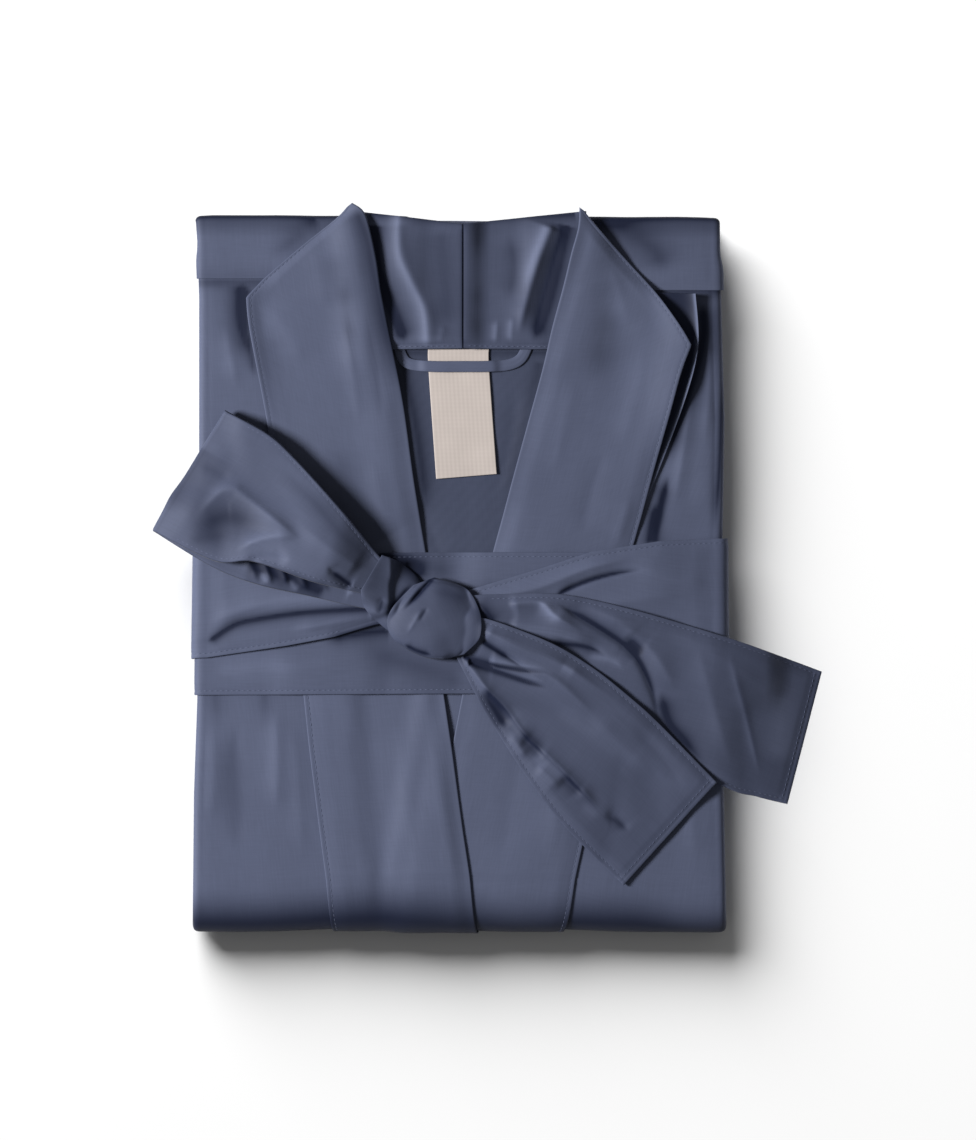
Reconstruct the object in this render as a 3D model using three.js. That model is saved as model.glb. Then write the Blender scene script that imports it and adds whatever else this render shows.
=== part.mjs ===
// A satin kimono robe, folded flat and lying face up, with its own sash wound round it
// and tied in a half bow: one loop to the left, two tails to the right.
//
// Millimetres, +Z up. The origin is on the resting surface under the middle of the
// outline. +X runs to the seen right, +Y to the collar. Left and right are as seen
// from above.
//
// Every wall is laid on what lies under it. A lift map holds how far the cloth laid so
// far stands above the skin of the folded layers; each new piece takes its underside
// from that map and then raises it.
import * as THREE from 'three';

// ---- Driving dimensions --------------------------------------------------------------
const STACK_HEIGHT = 26;        // folded layers under the outer panels, at the sides
const CROWN = 1.6;              // how much higher the stack is in its middle
const BELT_DIP = 2.4;           // how far the sash presses the stack down
const SECTIONS = 4;             // folded sections that show as layers at the edges
const PANEL_WALL = 1.2;         // fronts, yokes, back
const BAND_WALL = 1.4;          // collar and front bands
const SASH_WALL = 1.3;          // sash, two layers of satin
const TRIM_WALL = 1.0;          // label and hanger tape
const GAP = 0.3;                // between pieces that touch
const SKIN_GAP = 0.4;           // between the folded layers and the panels on them
const BELT_RECESS = 1.8;        // the stack clears the sash under it by this much
const TAPE_WIDTH = 5.5;         // hanger loop
const MAP_CELL = 2;             // lift map resolution
const CLOTH_COLOR = 0x4d546f;
const LABEL_COLOR = 0xc8c2be;

const RIM = STACK_HEIGHT / SECTIONS / 2;                // half a folded section
const RIM_SQUARENESS = 3.4;     // 2 gives round side folds, more gives pressed ones
const PANEL_OUT = SKIN_GAP + PANEL_WALL;                // panels stand this far off the skin
const QUARTER = Math.PI / 2;

// ---- Outline of the folded robe, outside of its panels -------------------------------
const SIDE_EDGES = [
  { y: 176.0, left: -147.0, right: 116.4 },
  { y: 158.0, left: -145.6, right: 116.5 },
  { y: 136.0, left: -144.8, right: 116.7 },
  { y: 75.0, left: -144.8, right: 118.4 },
  { y: 4.0, left: -144.9, right: 117.3 },
  { y: -66.0, left: -145.8, right: 117.5 },
  { y: -113.0, left: -147.4, right: 118.0 },
  { y: -161.0, left: -147.9, right: 119.0 },
  { y: -182.0, left: -148.4, right: 119.6 },
];
const TOP_EDGE = { atLeft: 176.6, atRight: 175.6 };
const BOTTOM_EDGE = -182.6;

// The stack draws back behind the bands there, so that the bottom edge stays straight.
const BAND_RELIEFS = [
  { from: -92, to: 52, soft: 32, back: 1.75 },
  { from: -40, to: -4, soft: 24, back: 0.9 },
];

// ---- Small helpers -------------------------------------------------------------------
const clamp = (value, low, high) => Math.min(high, Math.max(low, value));
const mix = (a, b, t) => a + (b - a) * t;

function ease(from, to, value) {
  const t = clamp((value - from) / (to - from), 0, 1);
  return t * t * (3 - 2 * t);
}

function lookUp(table, key, at, column) {
  const sign = Math.sign(table[table.length - 1][key] - table[0][key]);
  let i = 1;
  while (i < table.length - 1 && (at - table[i][key]) * sign > 0) i += 1;
  const a = table[i - 1];
  const b = table[i];
  const t = clamp((at - a[key]) / (b[key] - a[key]), 0, 1);
  return mix(a[column], b[column], t);
}

function steps(from, to, count) {
  return Array.from({ length: count + 1 }, (_, i) => mix(from, to, i / count));
}

// ---- Skin of the folded layers -------------------------------------------------------
const ROLL = STACK_HEIGHT / 2;                           // the skirt's fold at the bottom
const ROLL_Y = BOTTOM_EDGE + PANEL_OUT + ROLL;           // axis of that fold, at the sides
const LEFT_END = SIDE_EDGES[0].left;
const RIGHT_END = SIDE_EDGES[0].right;

function rollAxis(x) {
  return ROLL_Y + BAND_RELIEFS.reduce((sum, r) => (
    sum + r.back * ease(r.from - r.soft, r.from + r.soft, x) * ease(r.to + r.soft, r.to - r.soft, x)), 0);
}

// Sine and cosine round a pressed fold, squarer than a circle.
const squared = (value) => Math.sign(value) * Math.abs(value) ** (2 / RIM_SQUARENESS);
const rimSin = (turn) => squared(Math.sin(turn));
const rimCos = (turn) => squared(Math.cos(turn));

const leftEdge = (y) => lookUp(SIDE_EDGES, 'y', y, 'left') + PANEL_OUT;
const rightEdge = (y) => lookUp(SIDE_EDGES, 'y', y, 'right') - PANEL_OUT;

function topEdge(x) {
  const t = clamp((x - LEFT_END) / (RIGHT_END - LEFT_END), 0, 1);
  return mix(TOP_EDGE.atLeft, TOP_EDGE.atRight, t) - PANEL_OUT;
}

function stackTop(x, y) {
  const middle = (LEFT_END + RIGHT_END) / 2;
  const half = (RIGHT_END - LEFT_END) / 2;
  const across = 1 - clamp((x - middle) / half, -1, 1) ** 2;
  const along = ease(-175, -120, y) * ease(180, 120, y);
  const belt = ease(-100, -58, y) * ease(52, 10, y);
  return STACK_HEIGHT + CROWN * across * along - BELT_DIP * belt * (0.45 + 0.55 * across);
}

// A point of the skin in the x = constant plane, with its outward normal. Past the
// edges `flatY` runs on over the edge as cloth does.
function skinAlong(x, flatY) {
  const upper = topEdge(x) - RIM;
  if (flatY > upper) {
    const turn = (flatY - upper) / RIM;
    const z = stackTop(x, upper) - RIM;
    return { y: upper + rimSin(turn) * RIM, z: z + rimCos(turn) * RIM,
      ny: rimSin(turn), nz: rimCos(turn) };
  }
  const axis = rollAxis(x);
  if (flatY < ROLL_Y) {
    const turn = (ROLL_Y - flatY) / ROLL;
    return { y: axis - Math.sin(turn) * ROLL, z: ROLL + Math.cos(turn) * ROLL,
      ny: -Math.sin(turn), nz: Math.cos(turn) };
  }
  const drawnBack = (axis - ROLL_Y) * ease(ROLL_Y + 30, ROLL_Y, flatY);
  return { y: flatY + drawnBack, z: stackTop(x, flatY), ny: 0, nz: 1 };
}

// Cloth that follows the stack over its edges: sideways it turns round the top section.
function onStack(flatX, flatY, lift) {
  const left = leftEdge(flatY) + RIM;
  const right = rightEdge(flatY) - RIM;
  const skin = skinAlong(clamp(flatX, left, right), flatY);
  const past = flatX > right ? flatX - right : Math.min(0, flatX - left);
  const turn = Math.abs(past) / RIM;
  const height = past === 0 ? lift : rimCos(turn) * (RIM + lift) - RIM;
  const x = clamp(flatX, left, right) + Math.sign(past) * rimSin(turn) * (RIM + lift);
  return new THREE.Vector3(x, skin.y + skin.ny * height, skin.z + skin.nz * height);
}

// The sash is taut: past the rim it runs straight down the side.
function roundSides(flatX, y, lift) {
  const left = leftEdge(y) + RIM;
  const right = rightEdge(y) - RIM;
  const past = flatX > right ? flatX - right : Math.min(0, flatX - left);
  const down = Math.abs(past) - RIM * QUARTER;
  if (down <= 0) return onStack(flatX, y, lift);
  const base = clamp(flatX, left, right);
  return new THREE.Vector3(base + Math.sign(past) * (RIM + lift), y, stackTop(base, y) - RIM - down);
}

// Cloth that runs on past the edge of the stack in the air, drooping as it goes.
function hangingOut(droopPerMm) {
  return (x, y, lift) => {
    const left = leftEdge(y) + RIM;
    const right = rightEdge(y) - RIM;
    const out = Math.max(0, x - right, left - x);
    const base = stackTop(clamp(x, left, right), clamp(y, ROLL_Y, topEdge(x) - RIM));
    return new THREE.Vector3(x, y, base + lift - droopPerMm * out ** 1.5 / 6);
  };
}

// ---- Lift map ------------------------------------------------------------------------
const MAP_LEFT = -190;
const MAP_BOTTOM = -214;
const MAP_COLUMNS = 191;
const MAP_ROWS = 201;

function mapIndex(column, row) {
  return clamp(row, 0, MAP_ROWS - 1) * MAP_COLUMNS + clamp(column, 0, MAP_COLUMNS - 1);
}

function filtered(map, reach, pick) {
  let result = map;
  for (const [dx, dy] of [[1, 0], [0, 1]]) {
    const next = new Float32Array(result.length);
    for (let row = 0; row < MAP_ROWS; row += 1) {
      for (let column = 0; column < MAP_COLUMNS; column += 1) {
        const line = [];
        for (let k = -reach; k <= reach; k += 1) {
          line.push(result[mapIndex(column + k * dx, row + k * dy)]);
        }
        next[mapIndex(column, row)] = pick(line);
      }
    }
    result = next;
  }
  return result;
}

const spread = (map, reach) => filtered(map, reach, (line) => Math.max(...line));
const mean = (line) => line.reduce((a, b) => a + b) / line.length;
const blur = (map, reach) => filtered(map, reach, mean);

function sample(map, x, y) {
  const u = (x - MAP_LEFT) / MAP_CELL;
  const v = (y - MAP_BOTTOM) / MAP_CELL;
  const column = Math.floor(u);
  const row = Math.floor(v);
  const lower = mix(map[mapIndex(column, row)], map[mapIndex(column + 1, row)], u - column);
  const upper = mix(map[mapIndex(column, row + 1)], map[mapIndex(column + 1, row + 1)], u - column);
  return mix(lower, upper, v - row);
}

const liftMap = new Float32Array(MAP_COLUMNS * MAP_ROWS).fill(SKIN_GAP - GAP);

function raiseUnderTriangle(corners) {
  const [a, b, c] = corners;
  const area = (b.x - a.x) * (c.y - a.y) - (c.x - a.x) * (b.y - a.y);
  if (Math.abs(area) < 1e-6) return;
  const columns = corners.map((p) => (p.x - MAP_LEFT) / MAP_CELL);
  const rows = corners.map((p) => (p.y - MAP_BOTTOM) / MAP_CELL);
  for (let row = Math.floor(Math.min(...rows)); row <= Math.ceil(Math.max(...rows)); row += 1) {
    for (let col = Math.floor(Math.min(...columns)); col <= Math.ceil(Math.max(...columns)); col += 1) {
      const x = MAP_LEFT + col * MAP_CELL;
      const y = MAP_BOTTOM + row * MAP_CELL;
      const wb = ((x - a.x) * (c.y - a.y) - (c.x - a.x) * (y - a.y)) / area;
      const wc = ((b.x - a.x) * (y - a.y) - (x - a.x) * (b.y - a.y)) / area;
      const wa = 1 - wb - wc;
      if (Math.min(wa, wb, wc) < -0.02) continue;
      const index = mapIndex(col, row);
      liftMap[index] = Math.max(liftMap[index], wa * a.top + wb * b.top + wc * c.top);
    }
  }
}

// ---- Laying a sheet ------------------------------------------------------------------
// A plan is a grid of rows; each point has x and y along the cloth, u from 0 to 1 down
// the rows and v from 0 to 1 across them.
function eachQuad(grid, visit) {
  for (let i = 0; i + 1 < grid.length; i += 1) {
    for (let j = 0; j + 1 < grid[i].length; j += 1) {
      visit(grid[i][j], grid[i][j + 1], grid[i + 1][j + 1], grid[i + 1][j]);
    }
  }
}

function clearWhatLiesBelow(plan, below) {
  const inside = [0, 0.25, 0.5, 0.75, 1];
  for (let pass = 0; pass < 6; pass += 1) {
    eachQuad(plan, (...corners) => {
      for (const s of inside) {
        for (const t of inside) {
          const weights = [(1 - s) * (1 - t), (1 - s) * t, s * t, s * (1 - t)];
          const total = (key) => corners.reduce((sum, p, k) => sum + weights[k] * p[key], 0);
          const lack = sample(below, total('x'), total('y')) + GAP + 0.03 - total('bottom');
          if (lack <= 0) continue;
          const squares = weights.reduce((sum, w) => sum + w * w, 0);
          corners.forEach((p, k) => { p.bottom += lack * weights[k] / squares; });
        }
      }
    });
  }
}

function lay(plan, { wall, relief = () => 0, reach = 3, soften = 2, place = onStack }) {
  const below = spread(liftMap, 1);
  const bed = blur(spread(liftMap, reach), soften);
  for (const row of plan) {
    for (const p of row) p.bottom = sample(bed, p.x, p.y) + GAP + Math.max(0, relief(p));
  }
  clearWhatLiesBelow(plan, below);
  for (const row of plan) {
    for (const p of row) {
      const thickness = typeof wall === 'function' ? wall(p) : wall;
      p.top = p.bottom + thickness;
      p.lower = place(p.x, p.y, p.bottom);
      p.upper = place(p.x, p.y, p.top);
    }
  }
  eachQuad(plan, (a, b, c, d) => {
    raiseUnderTriangle([a, b, c]);
    raiseUnderTriangle([a, c, d]);
  });
  return plan;
}

// ---- Plans ---------------------------------------------------------------------------
// Rows are straight lines from side a to side b; the sides are smooth curves.
function ruledPlan(rows, spacing, columns) {
  const sideA = new THREE.SplineCurve(rows.map((r) => new THREE.Vector2(r.ax, r.ay)));
  const sideB = new THREE.SplineCurve(rows.map((r) => new THREE.Vector2(r.bx, r.by)));
  const stations = [0];
  for (let k = 1; k < rows.length; k += 1) {
    const middle = (r) => new THREE.Vector2((r.ax + r.bx) / 2, (r.ay + r.by) / 2);
    const count = Math.max(1, Math.round(middle(rows[k - 1]).distanceTo(middle(rows[k])) / spacing));
    for (let i = 1; i <= count; i += 1) stations.push((k - 1 + i / count) / (rows.length - 1));
  }
  return stations.map((u) => {
    const a = sideA.getPoint(u);
    const b = sideB.getPoint(u);
    return steps(0, 1, columns).map((v) => ({ x: mix(a.x, b.x, v), y: mix(a.y, b.y, v), u, v }));
  });
}

function tablePlan(alongs, acrossAt) {
  return alongs.map((y, i) => acrossAt(y).map((x, j, all) => ({
    x, y, u: i / (alongs.length - 1), v: j / (all.length - 1),
  })));
}

// Height of a set of ridges at a point: each is a soft bump along a straight line.
function ridges(table) {
  return (p) => table.reduce((sum, r) => {
    const dx = r.x2 - r.x1;
    const dy = r.y2 - r.y1;
    const t = clamp(((p.x - r.x1) * dx + (p.y - r.y1) * dy) / (dx * dx + dy * dy), 0, 1);
    const distance = Math.hypot(p.x - r.x1 - dx * t, p.y - r.y1 - dy * t);
    return sum + r.high * Math.exp(-((distance / r.wide) ** 2));
  }, 0);
}

// ---- Solids from grids ---------------------------------------------------------------
function gridSolid(lower, upper) {
  const rows = lower.length;
  const columns = lower[0].length;
  const positions = [];
  for (const grid of [lower, upper]) {
    for (const row of grid) for (const p of row) positions.push(p.x, p.y, p.z);
  }
  const at = (layer, i, j) => layer * rows * columns + i * columns + j;
  const index = [];
  const quad = (a, b, c, d) => index.push(a, b, c, a, c, d);
  for (let i = 0; i + 1 < rows; i += 1) {
    for (let j = 0; j + 1 < columns; j += 1) {
      quad(at(1, i, j), at(1, i, j + 1), at(1, i + 1, j + 1), at(1, i + 1, j));
      quad(at(0, i, j), at(0, i + 1, j), at(0, i + 1, j + 1), at(0, i, j + 1));
    }
    quad(at(0, i, 0), at(1, i, 0), at(1, i + 1, 0), at(0, i + 1, 0));
    const last = columns - 1;
    quad(at(0, i + 1, last), at(1, i + 1, last), at(1, i, last), at(0, i, last));
  }
  for (let j = 0; j + 1 < columns; j += 1) {
    quad(at(0, 0, j + 1), at(1, 0, j + 1), at(1, 0, j), at(0, 0, j));
    const last = rows - 1;
    quad(at(0, last, j), at(1, last, j), at(1, last, j + 1), at(0, last, j + 1));
  }
  return facingOut(positions, index);
}

function facingOut(positions, index) {
  const corner = (i) => new THREE.Vector3().fromArray(positions, index[i] * 3);
  let volume = 0;
  for (let i = 0; i < index.length; i += 3) {
    volume += corner(i).dot(corner(i + 1).cross(corner(i + 2)));
  }
  if (volume < 0) {
    for (let i = 0; i < index.length; i += 3) [index[i], index[i + 1]] = [index[i + 1], index[i]];
  }
  const geometry = new THREE.BufferGeometry();
  geometry.setAttribute('position', new THREE.Float32BufferAttribute(positions, 3));
  geometry.setIndex(index);
  return geometry;
}

const robe = new THREE.Group();
robe.name = 'kimono_robe';

function addPiece(name, geometry, color = CLOTH_COLOR, roughness = 0.45) {
  const material = new THREE.MeshStandardMaterial({ color, roughness, metalness: 0 });
  const piece = new THREE.Mesh(geometry, material);
  piece.name = name;
  robe.add(piece);
}

function addSheet(name, plan, options, color, roughness) {
  const sheet = lay(plan, options);
  const lower = sheet.map((row) => row.map((p) => p.lower));
  const upper = sheet.map((row) => row.map((p) => p.upper));
  addPiece(name, gridSolid(lower, upper), color, roughness);
}

// ---- Folded layers -------------------------------------------------------------------
// Sleeves, sides and skirt folded behind: one solid, lofted across X from sections in
// the Y-Z plane. `depth` is 0 on the outside and nears 1 at the middle of the stack.
const BELT_BACK = { low: -58, high: 14, slope: 4 };

function underside(y, depth, top) {
  const belt = ease(BELT_BACK.low - BELT_BACK.slope - 1, BELT_BACK.low - 1, y)
    * ease(BELT_BACK.high + BELT_BACK.slope + 1, BELT_BACK.high + 1, y);
  return Math.max(depth * top / 2, BELT_RECESS * belt);
}

const scallop = (part) => RIM * (1 - rimSin(Math.abs((part * SECTIONS % 1) * Math.PI)));

function stackSection(x, depth) {
  const points = [];
  const edge = topEdge(x) - depth * STACK_HEIGHT / 2;
  const upper = edge - RIM;
  const axis = rollAxis(x);
  for (const y of steps(upper, axis, 22)) {
    points.push([y, stackTop(x, y) * (1 - depth / 2)]);
  }
  for (const turn of steps(0, Math.PI, 9).slice(1, -1)) {
    const radius = ROLL * (1 - depth);
    points.push([axis - Math.sin(turn) * radius, ROLL + Math.cos(turn) * radius]);
  }
  const { low, high, slope } = BELT_BACK;
  const floorPoints = [axis, low - slope - 1, low - 1, high + 1, high + slope + 1];
  for (const y of floorPoints) points.push([y, underside(y, depth, stackTop(x, y))]);
  for (const part of steps(depth / 2, 1 - depth / 2, 12).slice(0, -1)) {
    points.push([edge - scallop(part), stackTop(x, upper) * part]);
  }
  return points;
}

function foldedLayers() {
  const rim = [];
  for (const turn of steps(0, Math.PI, 5)) {
    rim.push({ depth: (1 - rimCos(turn)) / 4, inset: RIM * (1 - rimSin(turn)) });
  }
  for (const turn of steps(0, Math.PI, 5).slice(1, -1)) {
    rim.push({ depth: 0.5 + (1 - rimCos(turn)) / 4, inset: RIM * (1 - rimSin(turn)) });
  }
  const rings = [];
  const addRing = (depth, xAt) => {
    const section = stackSection(xAt(0), depth);
    rings.push(section.map(([y, z]) => new THREE.Vector3(xAt(y), y, z)));
  };
  for (const { depth, inset } of [...rim].reverse()) addRing(depth, (y) => leftEdge(y) + inset);
  for (const t of steps(0, 1, 11).slice(1, -1)) {
    addRing(0, (y) => mix(leftEdge(y) + RIM, rightEdge(y) - RIM, t));
  }
  for (const { depth, inset } of rim) addRing(depth, (y) => rightEdge(y) - inset);

  const count = rings[0].length;
  const positions = rings.flatMap((ring) => ring.flatMap((p) => [p.x, p.y, p.z]));
  const index = [];
  for (let i = 0; i + 1 < rings.length; i += 1) {
    for (let j = 0; j < count; j += 1) {
      const a = i * count + j;
      const b = i * count + (j + 1) % count;
      index.push(a, b, b + count, a, b + count, a + count);
    }
  }
  for (const [ring, flip] of [[0, true], [rings.length - 1, false]]) {
    const outline = rings[ring].map((p) => new THREE.Vector2(p.y, p.z));
    for (const face of THREE.ShapeUtils.triangulateShape(outline, [])) {
      const [a, b, c] = face.map((k) => ring * count + k);
      index.push(...(flip ? [c, b, a] : [a, b, c]));
    }
  }
  return facingOut(positions, index);
}

addPiece('folded_layers', foldedLayers());

// ---- Body panels ---------------------------------------------------------------------
const SIDE_TURNS = [1.92, 1.4, 0.95, 0.5, 0];           // radians round the side rim
const BOTTOM_TURNS = [0.33, 0.66, 1.0, 1.33, 1.66, 2.0, 2.34];
const FRONT_TOP = { left: 151, right: 146 };            // hidden under the yokes
const YOKE_HEM = { left: 144.8, right: 139.0 };
const YOKE_SIDE_TURNS = [1.3, 0.9, 0.45, 0];
const YOKE_TOP_TURNS = [0, 0.4, 0.8, 1.2, 1.6, 1.9];

const FRONT_INNER = [
  { y: 176, left: -88, right: 60 },
  { y: 60, left: -78, right: 52 },
  { y: 0, left: -70, right: 30 },
  { y: -60, left: -74, right: -26 },
  { y: -182, left: -62, right: -46 },
];

function panelColumns(side, turns, flatCount) {
  return (y) => {
    const edge = side === 'left' ? leftEdge(y) + RIM : rightEdge(y) - RIM;
    const out = side === 'left' ? -1 : 1;
    const inner = lookUp(FRONT_INNER, 'y', y, side);
    return [...turns.map((turn) => edge + out * turn * RIM), ...steps(edge, inner, flatCount).slice(1)];
  };
}

const LEFT_FRONT_FOLDS = ridges([
  { x1: -107, y1: -72, x2: -106, y2: -122, wide: 8, high: 1.0 },
  { x1: -135, y1: 128, x2: -134, y2: 84, wide: 7, high: 0.8 },
]);
const RIGHT_FRONT_FOLDS = ridges([
  { x1: 104, y1: 95, x2: 96, y2: 30, wide: 5, high: 1.2 },
  { x1: 116, y1: 95, x2: 114, y2: 20, wide: 4, high: 0.8 },
]);

for (const side of ['left', 'right']) {
  const rows = [...steps(FRONT_TOP[side], ROLL_Y, 26), ...BOTTOM_TURNS.map((turn) => ROLL_Y - turn * ROLL)];
  const flatColumns = side === 'left' ? 4 : 7;
  addSheet(`front_${side}`, tablePlan(rows, panelColumns(side, SIDE_TURNS, flatColumns)), {
    wall: PANEL_WALL, relief: side === 'left' ? LEFT_FRONT_FOLDS : RIGHT_FRONT_FOLDS,
  });
}

for (const side of ['left', 'right']) {
  const upper = topEdge(side === 'left' ? LEFT_END : RIGHT_END) - RIM;
  const flatRows = steps(YOKE_HEM[side], upper, 3).slice(0, -1);
  const rows = [...flatRows, ...YOKE_TOP_TURNS.map((turn) => upper + turn * RIM)];
  addSheet(`yoke_${side}`, tablePlan(rows, panelColumns(side, YOKE_SIDE_TURNS, 5)), { wall: PANEL_WALL });
}

// ---- Neck: back, label, hanger loop, back collar --------------------------------------
addSheet('back_inside', ruledPlan([
  { ax: -66, ay: 124, bx: 50, by: 124 },
  { ax: -60, ay: 60, bx: 38, by: 60 },
  { ax: -52, ay: -12, bx: 18, by: -12 },
], 17, 8), { wall: PANEL_WALL });

addSheet('label', ruledPlan([
  { ax: -30.1, ay: 109.5, bx: 0.4, by: 109.5 },
  { ax: -29.8, ay: 98.6, bx: 0.6, by: 98.6 },
  { ax: -26.0, ay: 44.6, bx: 4.3, by: 47.1 },
], 9, 3), { wall: TRIM_WALL, reach: 1, soften: 1 }, LABEL_COLOR, 0.8);

const HANGER_LINE = [
  { x: -45.0, y: 112.0 }, { x: -43.2, y: 106.0 }, { x: -39.5, y: 102.3 }, { x: -29.6, y: 100.9 },
  { x: -14.0, y: 100.8 }, { x: 0.4, y: 100.9 }, { x: 10.5, y: 101.8 }, { x: 16.5, y: 105.0 },
  { x: 20.0, y: 112.0 },
];

function tapePlan(line, width, count) {
  const curve = new THREE.SplineCurve(line.map((p) => new THREE.Vector2(p.x, p.y)));
  return steps(0, 1, count).map((u) => {
    const middle = curve.getPoint(u);
    const tangent = curve.getTangent(u);
    return steps(-0.5, 0.5, 2).map((v) => ({
      x: middle.x - tangent.y * v * width, y: middle.y + tangent.x * v * width, u, v: v + 0.5,
    }));
  });
}

addSheet('hanger_loop', tapePlan(HANGER_LINE, TAPE_WIDTH, 20), { wall: TRIM_WALL, reach: 2, soften: 1 });

const COLLAR_SEAM = -12.5;
const COLLAR_FOLDS = ridges([
  { x1: -48, y1: 176, x2: -33, y2: 114, wide: 5, high: 2.4 },
  { x1: 29, y1: 170, x2: 13, y2: 120, wide: 5, high: 2.2 },
  { x1: -60, y1: 176, x2: 46, y2: 176, wide: 6, high: 1.6 },
]);
addSheet('collar_back_left', ruledPlan([
  { ax: -62, ay: 178.0, bx: COLLAR_SEAM - GAP / 2, by: 172.3 },
  { ax: -64, ay: 158, bx: COLLAR_SEAM - GAP / 2, by: 154 },
  { ax: -58, ay: 109.2, bx: COLLAR_SEAM - GAP / 2, by: 109.8 },
], 7, 7), { wall: BAND_WALL, relief: COLLAR_FOLDS, place: hangingOut(0.2) });
addSheet('collar_back_right', ruledPlan([
  { ax: COLLAR_SEAM + GAP / 2, ay: 172.3, bx: 44, by: 179.0 },
  { ax: COLLAR_SEAM + GAP / 2, ay: 154, bx: 46, by: 158 },
  { ax: COLLAR_SEAM + GAP / 2, ay: 109.8, bx: 42, by: 109.2 },
], 7, 7), { wall: BAND_WALL, relief: COLLAR_FOLDS, place: hangingOut(0.2) });

// ---- Lapels and front bands -----------------------------------------------------------
// Side a is the rolled edge at the neck opening, side b the stitched outer edge.
const rollWall = (p) => BAND_WALL + 1.4 * Math.exp(-((p.v / 0.1) ** 2));
const rollLift = (p) => 1.2 * Math.exp(-((p.v / 0.22) ** 2)) * ease(1, 0.6, p.u);

addSheet('lapel_right_under', ruledPlan([
  { ax: 81.0, ay: 138.0, bx: 103.6, by: 137.2 },
  { ax: 89.0, ay: 111.0, bx: 104.9, by: 111.1 },
  { ax: 87.0, ay: 84.0, bx: 99.4, by: 84.1 },
  { ax: 72.0, ay: 44.0, bx: 85.4, by: 44.1 },
  { ax: 67.0, ay: 31.0, bx: 78.5, by: 31.6 },
], 9, 3), { wall: PANEL_WALL, place: hangingOut(0) });

addSheet('lapel_left', ruledPlan([
  { ax: -68.0, ay: 182.6, bx: -70.5, by: 180.6 },
  { ax: -62.1, ay: 178.1, bx: -76.5, by: 174.5 },
  { ax: -58.6, ay: 167.6, bx: -94.3, by: 160.3 },
  { ax: -55.6, ay: 153.1, bx: -112.6, by: 144.5 },
  { ax: -53.6, ay: 138.6, bx: -121.0, by: 135.4 },
  { ax: -49.9, ay: 119.6, bx: -119.4, by: 119.6 },
  { ax: -42.6, ay: 83.1, bx: -112.6, by: 84.1 },
  { ax: -37.1, ay: 44.1, bx: -105.6, by: 44.1 },
  { ax: -31.1, ay: 7.6, bx: -99.1, by: 7.6 },
  { ax: -29.0, ay: -4.0, bx: -97.5, by: -4.0 },
], 10, 7), {
  wall: rollWall, place: hangingOut(0.2),
  relief: (p) => rollLift(p) + ridges([
    { x1: -80, y1: 168, x2: -76, y2: 148, wide: 8, high: 1.4 },
    { x1: -68, y1: 120, x2: -60, y2: 70, wide: 9, high: 0.7 },
  ])(p),
});

addSheet('lapel_right', ruledPlan([
  { ax: 45.6, ay: 180.3, bx: 47.6, by: 178.9 },
  { ax: 44.9, ay: 170.1, bx: 56.6, by: 168.3 },
  { ax: 41.4, ay: 157.1, bx: 69.4, by: 153.8 },
  { ax: 37.4, ay: 140.6, bx: 84.0, by: 137.6 },
  { ax: 32.2, ay: 121.3, bx: 95.9, by: 121.1 },
  { ax: 29.4, ay: 109.1, bx: 101.6, by: 111.4 },
  { ax: 26.4, ay: 96.6, bx: 96.6, by: 98.1 },
  { ax: 20.9, ay: 76.6, bx: 90.7, by: 76.6 },
  { ax: 13.4, ay: 49.1, bx: 83.0, by: 49.1 },
  { ax: 7.4, ay: 26.6, bx: 77.0, by: 26.6 },
  { ax: 2.4, ay: 8.1, bx: 72.4, by: 10.1 },
  { ax: 0.0, ay: -4.0, bx: 69.0, by: -3.0 },
], 10, 7), { wall: rollWall, relief: rollLift, place: hangingOut(0.2) });

// Below the sash the bands run down and round the bottom fold; x is where each band's
// two edges lie, the left band on top of the right one.
const BAND_EDGES = {
  right: [
    { y: -56, inner: -11.5, outer: 63.0 },
    { y: -90, inner: -18.1, outer: 57.4 },
    { y: -182, inner: -37.6, outer: 38.4 },
    { y: -212, inner: -43.6, outer: 32.4 },
  ],
  left: [
    { y: -56, inner: -23.2, outer: -93.2 },
    { y: -90, inner: -18.1, outer: -89.6 },
    { y: -182, inner: -5.6, outer: -78.1 },
    { y: -212, inner: -2.0, outer: -74.2 },
  ],
};
for (const side of ['right', 'left']) {
  const rows = [...steps(-56, ROLL_Y, 9), ...BOTTOM_TURNS.slice(0, -1).map((turn) => ROLL_Y - turn * ROLL)];
  addSheet(`band_${side}`, tablePlan(rows, (y) => {
    const inner = lookUp(BAND_EDGES[side], 'y', y, 'inner');
    const outer = lookUp(BAND_EDGES[side], 'y', y, 'outer');
    return steps(inner, outer, 6);
  }), { wall: BAND_WALL, reach: 2, soften: 1 });
}

// ---- Sash ----------------------------------------------------------------------------
const BELT_FOOT = 2.2;                                   // where the sides meet the back stretch

function beltStations(side, y) {
  const edge = side === 'left' ? leftEdge(y) + RIM : rightEdge(y) - RIM;
  const out = side === 'left' ? -1 : 1;
  const drop = stackTop(edge, y) - RIM - BELT_FOOT;
  const turns = [0, 0.4, 0.8, 1.2, QUARTER].map((turn) => edge + out * turn * RIM);
  const downs = steps(0, drop, 3).slice(1).map((down) => edge + out * (QUARTER * RIM + down));
  return [...turns, ...downs];
}

// Rows run across the sash at each x; `low` and `high` are its two edges there.
function sashPlan(stations, edges, columns) {
  return stations.map((x, i) => {
    const low = lookUp(edges, 'x', x, 'low');
    const high = lookUp(edges, 'x', x, 'high');
    return steps(0, 1, columns).map((v) => ({ x, y: mix(low, high, v), u: i / (stations.length - 1), v }));
  });
}

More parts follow.
